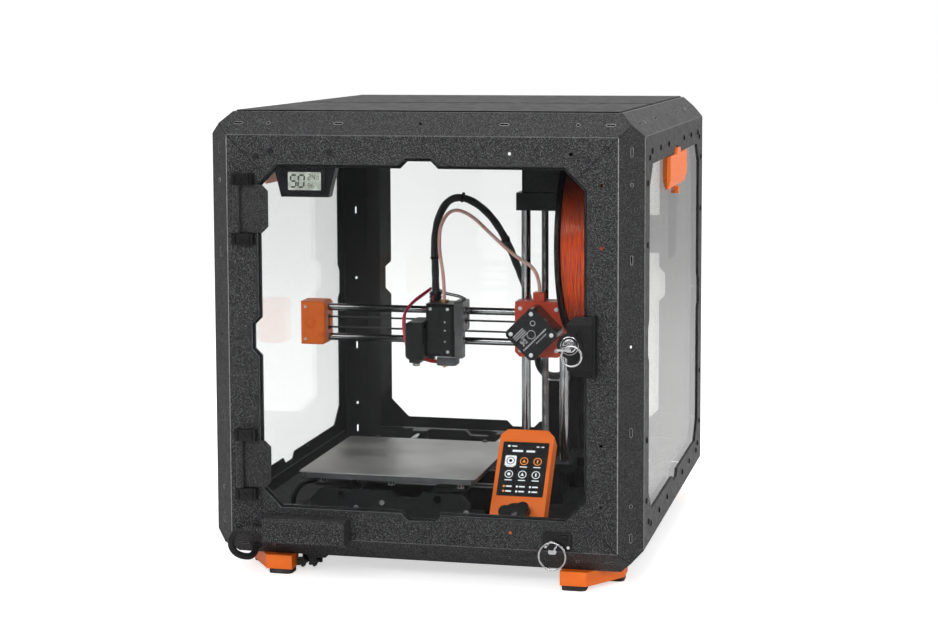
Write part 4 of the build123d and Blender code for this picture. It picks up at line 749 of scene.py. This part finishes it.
# ------------------------------------------------------------- screw and filament
def make_lead_screw():
    """Four-start trapezoidal thread, with the slotted coupler at its foot."""
    low, high = corners("leadscrew")
    centre = middle("leadscrew")
    coupler_top = low.z + 15.0
    pitch, starts, sides = 2.0, 4, 24
    mean_radius, half_depth, row_step = 3.55, 0.42, 0.34
    shape = Shape()
    rows = []
    count = int((high.z - coupler_top) / row_step)
    for i in range(count + 1):
        z = coupler_top + (high.z - coupler_top) * i / count
        row = []
        for x, y in circle(1.0, sides):
            turn = len(row) * 2 * pi / sides
            flank = max(-1.0, min(1.0, 1.6 * sin(2 * pi * z / pitch - starts * turn)))
            radius = mean_radius + half_depth * flank
            row.append((centre.x + x * radius, centre.y + y * radius, z))
        rows.append(row)
    shape.skin(rows)
    shape.place = placed((centre.x, centre.y, low.z))
    shape.slot = 1
    shape.turned([(6.4, 0), (6.95, 0.6), (6.95, 4), (6.2, 4.3), (6.2, 4.9), (6.95, 5.2), (6.95, 7),
                  (6.2, 7.3), (6.2, 7.9), (6.95, 8.2), (6.95, 14.4), (6.4, 15)], 32)
    screw = make("leadscrew_thread", shape, "screw", "steel", GROUND_STEEL, ZINC, sharp=60.0)
    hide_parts("leadscrew")


def make_wound_filament():
    """Strands of filament side by side between the flanges, a little uneven."""
    low, high = corners("filament")
    centre = middle("filament")
    outer = (high.z - low.z) / 2
    inner = 34.2
    strand = 1.75
    count = int((high.x - low.x - 0.4) / strand)
    start = centre.x - count * strand / 2
    rows = []
    turns = 120
    for i in range(turns):
        angle = 2 * pi * i / turns
        profile = [(start, inner)]
        for k in range(count):
            lift = 0.35 * noise.noise(Vector((k * 0.9, cos(angle) * 1.6, sin(angle) * 1.6)))
            sway = 0.25 * sin(2 * angle + k * 0.12)
            for step in range(5):
                t = pi * step / 5
                x = start + (k + 0.5) * strand - cos(t) * strand / 2 + sway * sin(pi * (k + 0.5) / count)
                profile.append((x, outer - 1.2 + lift + sin(t) * strand / 2))
        profile.append((start + count * strand, inner))
        rows.append([(x, centre.y + r * cos(angle), centre.z + r * sin(angle)) for x, r in profile])
    shape = Shape()
    shape.skin(rows, looped=True)
    winding = make("filament_winding", shape, "spool", "filament", WOUND, sharp=70.0)
    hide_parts("filament")


make_lead_screw()
make_wound_filament()


# ------------------------------------------------------------- gauge and display
ink = 0.08
digit_bars = {"0": "abcdef", "2": "abged", "4": "fgbc", "5": "afgcd"}


def digit(shape, figure, x, y, tall):
    """Seven-segment figure with its lower left corner at x, y."""
    wide = tall * 0.5
    half = tall / 2
    bar = tall * 0.075
    low, high = half / 2, half * 1.5
    bars = {"a": (wide / 2, tall, 0), "g": (wide / 2, half, 0), "d": (wide / 2, 0, 0),
            "f": (0, high, 1), "b": (wide, high, 1), "e": (0, low, 1), "c": (wide, low, 1)}
    for name in digit_bars[figure]:
        px, py, upright = bars[name]
        reach = (half if upright else wide) / 2 - bar * 0.35
        outline = [(-reach, 0), (bar - reach, -bar), (reach - bar, -bar), (reach, 0),
                   (reach - bar, bar), (bar - reach, bar)]
        if upright:
            outline = [(-v, u) for u, v in outline]
        lean = 0.08
        moved = [(x + px + u + (py + v) * lean, y + py + v) for u, v in outline]
        shape.prism(moved, 0.0, ink)


def make_gauge_face():
    """Liquid-crystal panel with plain figures and a slanted stroke between two rings."""
    low = corners("hygrometer")[0]
    panel = Vector((middle("hygrometer").x, low.y + 1.0, 392.0))
    panel_thick = 0.3
    face = panel - Vector((0, panel_thick, 0))
    shape = Shape(facing_front(*panel))
    shape.prism(oblong(33.6, 17.6, 0.8), 0.02, panel_thick, 0.1)
    shape.slot = 1
    shape.place = facing_front(*face)
    for figure, x, y, tall in (("5", -14.6, -5.8, 11.6), ("0", -6.6, -5.8, 11.6), ("2", 3.6, 1.4, 5.2),
                               ("4", 7.8, 1.4, 5.2), ("0", 12.6, 1.4, 3.6)):
        digit(shape, figure, x, y, tall)
    for x, z in ((4.6, -3.4), (8.0, -5.6)):
        shape.place = facing_front(face.x + x, face.y, face.z + z)
        shape.ring(1.2, 0.32, 18, 6)
    shape.place = facing_front(*face)
    shape.prism([(3.6, -6.8), (4.4, -6.8), (9.0, -2.2), (8.2, -2.2)], 0.0, ink)
    make("gauge_face", shape, "cabinet", "grey_plastic", LCD_PANEL, LCD_INK)


panel_mid = Vector((76.5, -111.9, 81.5))
panel_tilt = radians(38.0)
panel_up = Vector((0, sin(panel_tilt), cos(panel_tilt)))
screen_v = 14.5


def on_panel(u, v, lift=0.0):
    """Local frame on the leaning front of the display housing."""
    out = Vector((1, 0, 0)).cross(panel_up)
    return placed(panel_mid + Vector((u, 0, 0)) + panel_up * v + out * lift, (1, 0, 0), panel_up)


def make_screen():
    """Glass with a page of six round symbols and two rows of small bars."""
    recess = -1.15
    glass_top = -0.3
    base = glass_top - 0.04
    mark = 0.12
    shape = Shape(on_panel(0, screen_v, recess))
    shape.prism(oblong(47.6, 60.6, 0.9), 0.0, glass_top - recess, 0.15)
    shape.place = on_panel(0, screen_v, base)
    shape.slot = 1
    shape.plate(-17.5, 25.5, 2.6, 2.2, 0.5, 0, mark)
    for x, long in ((-12.0, 5.4), (12.5, 3.0), (17.5, 3.0)):
        shape.plate(x, 25.5, long, 1.2, 0.3, 0, mark)
    for x, long in ((-8.0, 11.0), (5.5, 9.0)):
        shape.plate(x, 20.2, long, 2.2, 0.4, 0, mark)
    symbols = (circle(1.7, 12), [(-1.8, -1.4), (1.8, -1.4), (0, 2.0)], oblong(1.4, 3.8, 0.4))
    for column, symbol in enumerate(symbols):
        for row in range(2):
            u, v = (column - 1) * 14.0, screen_v + 9.0 - row * 15.0
            first = column == 0 and row == 0
            shape.place = on_panel(u, v, base)
            shape.slot = 1
            shape.plate(0, -6.6, 7.4, 1.0, 0.2, 0, mark)
            if first:
                shape.prism(oblong(11.6, 11.6, 1.0), 0, mark)
                shape.place = on_panel(u, v, base + mark)
            shape.slot = 0 if first else (2 if row == 0 else 1)
            shape.ring(3.9, 0.42, 24, 6)
            shape.prism(symbol, 0, mark)
    for row in range(2):
        for column in range(3):
            shape.place = on_panel((column - 1) * 13.5, screen_v - 19.6 - row * 5.4, base)
            shape.slot = 2 if column == 0 else 1
            shape.plate(-3.9, 0, 1.9, 2.3, 0.5, 0, mark)
            shape.slot = 1
            shape.plate(1.2, 0, 6.0, 1.5, 0.3, 0, mark)
    make("screen_page", shape, "cabinet", "black_plastic", SCREEN_GLASS, SCREEN_WHITE, SCREEN_ORANGE)


make_gauge_face()
make_screen()


# ------------------------------------------------------------- motor, head and axis details
motor_mid = Vector((66.0, -8.9, 216.5))
slant = sqrt(0.5)


def on_motor(u, v, lift=0.0):
    """Local frame on the extruder motor's rear plate, which stands on a corner."""
    across = Vector((slant, 0, slant))
    up = Vector((-slant, 0, slant))
    origin = motor_mid + across * u + up * v + Vector((0, -lift, 0))
    return placed(origin, across, up)


def make_motor_plate():
    """Printed marks of the rear plate as plain bars and a chequer, and the centre ring."""
    bars = [(-9.5 + (15.0 - long) / 2, 11.0 - row * 2.2, long, 1.0, 0.2)
            for row, long in enumerate((15.0, 15.0, 15.0, 9.0))]
    bars += [(-17.5 + i * 2.3, -6.5, 1.5, 1.7, 0.3) for i in range(15)]
    bars += [(-2.0 + i * 2.2, -10.4, 1.4, 1.0, 0.2) for i in range(7)]
    bars += [(-14.8 + i * 1.15, -2.8 + j * 1.15, 1.0, 1.0, 0.1)
             for i in range(6) for j in range(6) if (i * 5 + j * 3 + i * j) % 4 < 2]
    shape = Shape(on_motor(0, 0))
    for bar in bars:
        shape.plate(*bar, 0, 0.06)
    shape.place = on_motor(9.5, 7.5)
    shape.ring(2.6, 0.4, 24, 6)
    shape.place = on_motor(0, 0, 0.55)
    shape.slot = 1
    shape.ring(4.4, 0.35, 32, 8)
    make("motor_plate_marks", shape, "gantry", "grey_plastic", PALE_INK, ZINC)


def make_motor_screws():
    screw_spacing = 31.0
    shape = Shape(on_motor(0, 0, 1.55))
    for u in (-screw_spacing / 2, screw_spacing / 2):
        for v in (-screw_spacing / 2, screw_spacing / 2):
            shape.screw(u, v, 2.3, 0.7)
    make("motor_screws", shape, "gantry", "steel", ZINC)


fan_mid = Vector((corners("fan_shroud")[0].x, 2.6, 207.0))


def make_head_wires():
    """Fan and sensor wires that leave the loom's clamp, and the heater's red sleeves."""
    shape = Shape()
    fan_loop = [(-54.0, 33.0, 257.0), (-60.0, 28.0, 252.0), (-69.0, 16.0, 245.0), (-76.5, 6.0, 235.0),
                (-76.0, 0.0, 222.0), (-73.0, -4.0, 208.0), (-70.5, -2.0, 194.0), (-66.0, 4.0, 186.5)]
    for slot, shift in ((0, (0, 0, 0)), (1, (1.2, -1.2, 1.6)), (0, (-0.9, 1.0, -1.3))):
        shape.slot = slot
        route = [Vector(p) + Vector(shift) for p in fan_loop]
        route[0] = Vector(fan_loop[0]) + Vector(shift) * 0.5
        shape.sweep(route_path(route), 1.35, 10)
    shape.slot = 1
    inner_loop = [(-50.0, 30.0, 250.0), (-49.0, 22.0, 244.0), (-46.0, 12.0, 240.0), (-44.0, 6.0, 232.0),
                  (-44.5, 2.0, 229.6)]
    shape.sweep(route_path(inner_loop), 1.0, 10)
    shape.slot = 2
    heater_routes = [
        [(-42.5, 17.0, 181.0), (-48.0, 14.0, 181.5), (-54.0, 8.0, 184.0), (-58.0, 4.0, 185.8)],
        [(-42.5, 19.5, 178.8), (-48.0, 17.0, 179.0), (-54.5, 11.0, 182.0), (-59.0, 6.0, 185.8)]]
    for route in heater_routes:
        shape.sweep(route_path(route), 1.15, 12)
    make("head_wires", shape, "head", "sleeve", RED_WIRE, PURPLE_WIRE, RED_SLEEVE)


def make_fan_cover_relief():
    """Raised frame and vent slots of the fan cover."""
    shape = Shape(placed((fan_mid.x + 4.4, fan_mid.y - 20.0, fan_mid.z), (1, 0, 0), (0, 0, 1)))
    shape.plate(-0.2, -8.0, 4.4, 13.0, 1.4, -0.2, 0.45, 0.3)
    shape.plate(0.4, 10.5, 3.8, 4.2, 1.0, -0.2, 0.35, 0.2)
    for i in range(6):
        shape.place = placed((fan_mid.x, fan_mid.y - 12.5 + i * 5.0, fan_mid.z), (0, -1, 0), (0, 0, 1))
        shape.prism(oblong(2.2, 24.0 - abs(i - 2.5) * 3.0, 0.9), -0.3, 0.02, 0.0)
    make("fan_cover_relief", shape, "head", "black_plastic", GLOSS_PLASTIC)


def make_shroud_details():
    """Ribs and screws on the front of the black shroud."""
    shape = Shape(facing_front(nozzle.x, -2.9, 220.0))
    for x, y in ((-9.5, 20.0), (9.5, 20.0), (9.5, -26.0)):
        shape.screw(x, y, 1.7, 0.9)
    shape.slot = 1
    shape.block(-2.0, 1.4, -24.0, 18.0, -0.2, 1.1, 0.4)
    for y in (-18.0, -13.0, -8.0):
        shape.block(5.0, 12.0, y, y + 1.6, -0.2, 0.6, 0.2)
    shape.slot = 0
    for y in (-19.0, -7.0, 2.0):
        shape.screw(6.5, y + 4.0, 0.9, 0.4)
    make("shroud_details", shape, "head", "black_plastic", ZINC, PLASTIC)


def make_blower_details():
    """Ribs on the blower's front, the fins in its inlet and its two wires."""
    low, high = corners("blower")
    bend = 0.5
    shape = Shape()
    for i in range(5):
        shape.place = placed((low.x + 1.2 + i * 1.9, low.y, 0), (1, 0, 0), (0, 0, 1))
        shape.block(-0.35, 0.35, 221.0, 243.0, -0.1, 0.45, 0.15)
    shape.place = placed((high.x, nozzle.y - 6, 232.0), (0, 1, 0), (0, 0, 1))
    for i in range(18):
        turn = 2 * pi * i / 18
        x, y = 6.6 * cos(turn), 6.6 * sin(turn)
        c, s = cos(turn + bend), sin(turn + bend)
        shape.prism([(x + u * c - v * s, y + u * s + v * c) for u, v in oblong(3.2, 0.6, 0.15)],
                    -1.9, -0.3)
    shape.place = Matrix.Identity(4)
    shape.slot = 1
    for lift in (0.0, 1.8):
        route = [(-11.5, 20.0, 247.0 + lift), (-17.0, 19.0, 250.5 + lift), (-28.0, 20.0, 252.0 + lift),
                 (-38.0, 27.0, 253.0 + lift), (-46.0, 35.5, 255.0 + lift)]
        shape.sweep(route_path(route), 0.75, 10)
    make("blower_details", shape, "head", "grey_plastic", GREY_PLASTIC, CABLE)


def make_heater_sock():
    """Grey sock round the heater block, and the heater's end cap."""
    block_x, block_y = nozzle.x - 6.0, nozzle.y - 8.0
    wall = 0.8
    shape = Shape()
    shape.block(block_x - wall, block_x + 20.0 + wall, block_y - wall, block_y + 16.0 + wall,
                176.2, 185.6, 1.0)
    shape.slot = 1
    shape.place = placed((nozzle.x - 6.6, nozzle.y - 3.0, 181.0), (0, 0, 1), (0, 1, 0))
    shape.turned([(2.4, -0.6), (2.4, 0.9), (1.9, 1.2), (1.2, 1.2)], 16)
    make("heater_sock", shape, "head", "rubber", SOCK, CHROME)


def make_probe_tip():
    """Silver sensing tip with its ridges."""
    groove, ridge = 3.7, 4.05
    shape = Shape(placed((-66.0, 15.1, corners("probe")[0].z)))
    shape.turned([(3.4, 0.0), (ridge, 0.5), (ridge, 1.1), (groove, 1.4), (ridge, 1.7), (ridge, 2.5),
                  (groove, 2.8), (ridge, 3.1), (ridge, 3.9), (3.6, 4.0)], 24)
    make("probe_tip", shape, "head", "steel", CHROME)


def make_axis_details():
    """Screws of the two orange axis blocks, and the tube fitting on top."""
    shape = Shape()
    block_front = 25.1
    shape.place = facing_front(0, block_front, 0)
    for x, z in ((47.0, 239.5), (47.0, 194.0), (86.5, 239.0), (86.5, 194.5)):
        shape.screw(x, z, 2.3, 1.6)
    for x, z in ((-194.5, 234.5), (-194.5, 199.0)):
        shape.screw(x, z, 1.6, 1.0)
    shape.slot = 1
    shape.place = placed((66.0, 36.1, corners("z_carriage")[1].z - 1.0))
    shape.turned([(3.4, -6.0), (4.6, -5.4), (4.6, -1.0), (3.6, -0.4), (3.6, 0.6), (2.2, 0.9)], 6)
    make("axis_screws", shape, "gantry", "steel", ZINC, BRASS)


for build in (make_motor_plate, make_motor_screws, make_head_wires, make_fan_cover_relief,
              make_shroud_details, make_blower_details, make_heater_sock, make_probe_tip,
              make_axis_details):
    build()


# ------------------------------------------------------------- small parts on the cabinet
lock_x, lock_z = 149.8, 242.5


def make_hinge_ribs():
    """Rib and raised pad on the front of every hinge block."""
    low, high = corners("hinge_blocks")
    hinge_offset = 126.0
    block_offset = 23.4 + 0.4 + 5.5
    shape = Shape()
    for side in (-1, 1):
        for end in (-1, 1):
            z = cabinet_mid.z + side * hinge_offset + end * block_offset
            shape.place = facing_front(0, low.y, z)
            shape.block(high.x - 4.4, high.x - 2.4, -4.6, 4.6, -0.2, 0.02, 0.08)
            shape.block(low.x + 1.0, low.x + 4.0, -4.4, 4.4, -0.2, 0.02, 0.08)
    make("hinge_block_ribs", shape, "cabinet", "black_plastic", PLASTIC)


def fold_places():
    """Local frame in the middle of each of the twelve folds, x along the fold."""
    reach = half_size - Vector((1, 1, 1)) * (fold_width / 2)
    for a in (-1, 1):
        for b in (-1, 1):
            for along, out in (((0, 0, 1), (a, b, 0)), ((0, 1, 0), (a, 0, b)), ((1, 0, 0), (0, a, b))):
                out = Vector(out)
                yield placed(cabinet_mid + out * reach, along, out.cross(Vector(along)))


def make_slot_rims():
    """Bright rims left by the cutter round the slots and eyelets of the folds."""
    slot_offsets = (82.0, 184.0)
    eyelet_offset = 153.0
    shape = Shape()
    for place in fold_places():
        for s in (-1, 1):
            for at in slot_offsets:
                shape.place = place @ Matrix.Translation((s * at, 0, -0.1))
                shape.band(oblong(9.6, 3.0, 1.2), oblong(9.0, 2.4, 1.0), 0.0, 0.14)
            shape.place = place @ Matrix.Translation((s * eyelet_offset, 0, 0))
            shape.ring(1.85, 0.16, 20, 6)
    make("fold_slot_rims", shape, "cabinet", "steel", RIM_STEEL)


def make_end_plate_bolts():
    """Bright bolts in the end plates of the base."""
    low, high = corners("end_plates")
    outer_bolts = [(-88.0, 54.7), (27.0, 55.0)]
    shape = Shape(facing_front(0, low.y, 0))
    for x, z in outer_bolts + [(-60.6, 61.0)]:
        shape.screw(x, z, 2.6, 1.6)
    shape.place = placed((0, high.y, 0), (-1, 0, 0), (0, 0, 1))
    for x, z in outer_bolts:
        shape.screw(-x, z, 2.6, 1.6)
    make("end_plate_bolts", shape, "cabinet", "steel", ZINC)


def make_bed_screws():
    """Nine hexagonal spacers under the heated plate."""
    step = 72.0
    shape = Shape()
    centre = middle("bed_sheet")
    for x in (-step, 0.0, step):
        for y in (-step, 0.0, step):
            shape.place = placed((centre.x + x, centre.y + y, 77.6))
            shape.turned([(3.1, 0.0), (4.0, 0.3), (4.0, 1.2), (3.2, 1.5), (3.2, 5.6), (4.2, 6.0),
                          (4.2, 7.2)], 6)
    make("bed_spacers", shape, "bed", "steel", ZINC)


def make_pull_link():
    """Flat link and collar that hold the pull ring on its pin."""
    thick = 0.8
    shape = Shape(facing_front(131.0, -228.0, 48.0))
    shape.band(circle(4.6, 24), circle(1.9, 24), 0.0, thick)
    shape.plate(0, -6.2, 8.0, 5.0, 1.2, 0.0, thick, 0.2)
    make("pull_link", shape, "pull_ring_body", "chrome", CHROME)


def make_lock_details():
    """Six-sided nut and bright ring of the lock, which turn with the door."""
    shape = Shape(facing_front(lock_x, -238.2, lock_z))
    shape.band(circle(12.0, 6), circle(9.4, 6), 1.0, 1.9, 2.0)
    shape.slot = 1
    shape.place = facing_front(lock_x, -240.2, lock_z)
    shape.ring(8.4, 0.5, 40, 8)
    make("lock_details", shape, "door", "black_plastic", GLOSS_PLASTIC, CHROME)


def make_key_details():
    """Ring round the plug's face."""
    shape = Shape(facing_front(lock_x, -240.7, lock_z))
    shape.ring(5.4, 0.35, 36, 8)
    make("key_details", shape, "lock", "chrome", CHROME)


def make_latch_details():
    """Short lever and two small screws of the latch plate."""
    shape = Shape(facing_front(135.0, -225.9, 51.5))
    shape.block(3.0, 10.5, 2.5, 6.5, 0.0, 1.6, 0.5)
    shape.slot = 1
    for x in (-11.0, 11.0):
        shape.screw(x, -5.4, 1.5, 0.6)
    make("latch_details", shape, "cabinet", "black_plastic", GLOSS_PLASTIC, ZINC)


def make_cover_marks():
    """Painted shade of the slots of the top covers' fastenings: flat dark marks flush with the sheets."""
    top = corners("top_covers")[1].z
    shape = Shape()
    for x in (-150.0, -50.0, 50.0, 150.0):
        for y in (-211.0, -21.0, -13.0, 211.0):
            shape.place = placed((x, cabinet_mid.y + y, top - 0.06))
            shape.prism(oblong(7.0, 1.8, 0.7), 0.0, 0.05)
    make("cover_slots", shape, "cabinet", "black_plate", SLOT_SHADE)


def make_reel_rim():
    """Small pips along the rim of both flanges."""
    low, high = corners("reel")
    centre = middle("reel")
    radius = (high.z - low.z) / 2
    flange_mid = 2.0
    pips = 72
    shape = Shape()
    for x in (low.x + flange_mid, high.x - flange_mid):
        for i in range(pips):
            turn = 2 * pi * i / pips
            out = Vector((0, cos(turn), sin(turn)))
            origin = Vector((x, centre.y, centre.z)) + out * (radius - 0.35)
            shape.place = placed(origin, (1, 0, 0), Vector((1, 0, 0)).cross(out) * -1)
            shape.prism(oblong(1.6, 2.2, 0.4), 0.0, 0.32, 0.1)
    make("reel_rim_pips", shape, "spool", "black_plastic", PALE_INK)


for build in (make_hinge_ribs, make_slot_rims, make_end_plate_bolts, make_bed_screws,
              make_pull_link, make_lock_details, make_key_details, make_latch_details,
              make_cover_marks, make_reel_rim):
    build()


# ------------------------------------------------------------- floor, light and camera
def make_floor():
    """Flat pale floor; a glow that only the camera sees lifts it to white."""
    glow = 0.62
    surface = Surface("studio_floor", (0.8, 0.8, 0.8), 0.8, {"Emission Color": (1, 1, 1, 1)})
    surface.mottle(3, 0.3, 0.7, (0.83, 0.83, 0.83))
    seen = surface.node("ShaderNodeLightPath").outputs["Is Camera Ray"]
    surface.tree.links.new(surface.math("MULTIPLY", seen, glow),
                           surface.shader.inputs["Emission Strength"])
    half = 12.0
    mesh = bpy.data.meshes.new("studio_floor")
    mesh.from_pydata([(-half, -half, 0), (half, -half, 0), (half, half, 0), (-half, half, 0)], [],
                     [(0, 1, 2, 3)])
    mesh.materials.append(surface.material)
    floor = bpy.data.objects.new("studio_floor", mesh)
    SCENE.collection.objects.link(floor)


def add_light(name, place, aim, size, power):
    light = bpy.data.lights.new(name, "AREA")
    light.shape = "RECTANGLE"
    light.size, light.size_y = size
    light.energy = power
    lamp = bpy.data.objects.new(name, light)
    lamp.location = place
    lamp.rotation_euler = (Vector(place) - Vector(aim)).to_track_quat("Z", "Y").to_euler()
    SCENE.collection.objects.link(lamp)


def light_scene():
    """White backdrop for the camera, a room that darkens to the front, and four soft lights."""
    world = bpy.data.worlds.new("studio")
    world.use_nodes = True
    tree = world.node_tree
    seen = tree.nodes["Background"]
    seen.inputs["Color"].default_value = (1, 1, 1, 1)
    seen.inputs["Strength"].default_value = 1.0
    direction = tree.nodes.new("ShaderNodeTexCoord")
    split = tree.nodes.new("ShaderNodeSeparateXYZ")
    span = tree.nodes.new("ShaderNodeMapRange")
    span.interpolation_type = "SMOOTHSTEP"
    for key, value in (("From Min", -0.75), ("From Max", 0.35), ("To Min", 0.1), ("To Max", 0.85)):
        span.inputs[key].default_value = value
    room = tree.nodes.new("ShaderNodeBackground")
    room.inputs["Color"].default_value = (1, 1, 1, 1)
    rays = tree.nodes.new("ShaderNodeLightPath")
    both = tree.nodes.new("ShaderNodeMixShader")
    tree.links.new(direction.outputs["Generated"], split.inputs[0])
    tree.links.new(split.outputs["Y"], span.inputs["Value"])
    tree.links.new(span.outputs[0], room.inputs["Strength"])
    tree.links.new(rays.outputs["Is Camera Ray"], both.inputs[0])
    tree.links.new(room.outputs[0], both.inputs[1])
    tree.links.new(seen.outputs[0], both.inputs[2])
    tree.links.new(both.outputs[0], tree.nodes["World Output"].inputs["Surface"])
    SCENE.world = world
    add_light("key", (-1.1, -2.3, 1.9), (0, 0, 0.25), (1.4, 1.4), 27)
    add_light("front", (0.1, -2.0, 1.05), (0, 0, 0.2), (1.0, 0.6), 15)
    add_light("side", (2.2, -0.6, 1.3), (0, 0, 0.25), (1.2, 1.6), 16)
    add_light("top", (0.1, 0.3, 2.2), (0, 0.1, 0.2), (1.8, 1.8), 20)


def aim_camera():
    turn, pitch, roll = radians(13.31), radians(5.39), radians(-0.23)
    camera = bpy.data.cameras.new("camera")
    camera.sensor_width = 36.0
    camera.lens = 78.86
    camera.shift_y = -0.0986
    camera.clip_start = 0.05
    eye = bpy.data.objects.new("camera", camera)
    stand = Matrix.Translation((0.4969, -2.1138, 0.5409))
    tilt = Matrix.Rotation(pi / 2 - pitch, 4, "X")
    eye.matrix_world = stand @ Matrix.Rotation(turn, 4, "Z") @ tilt @ Matrix.Rotation(roll, 4, "Z")
    SCENE.collection.objects.link(eye)
    SCENE.camera = eye


make_floor()
light_scene()
aim_camera()
SCENE.view_settings.view_transform = "Standard"
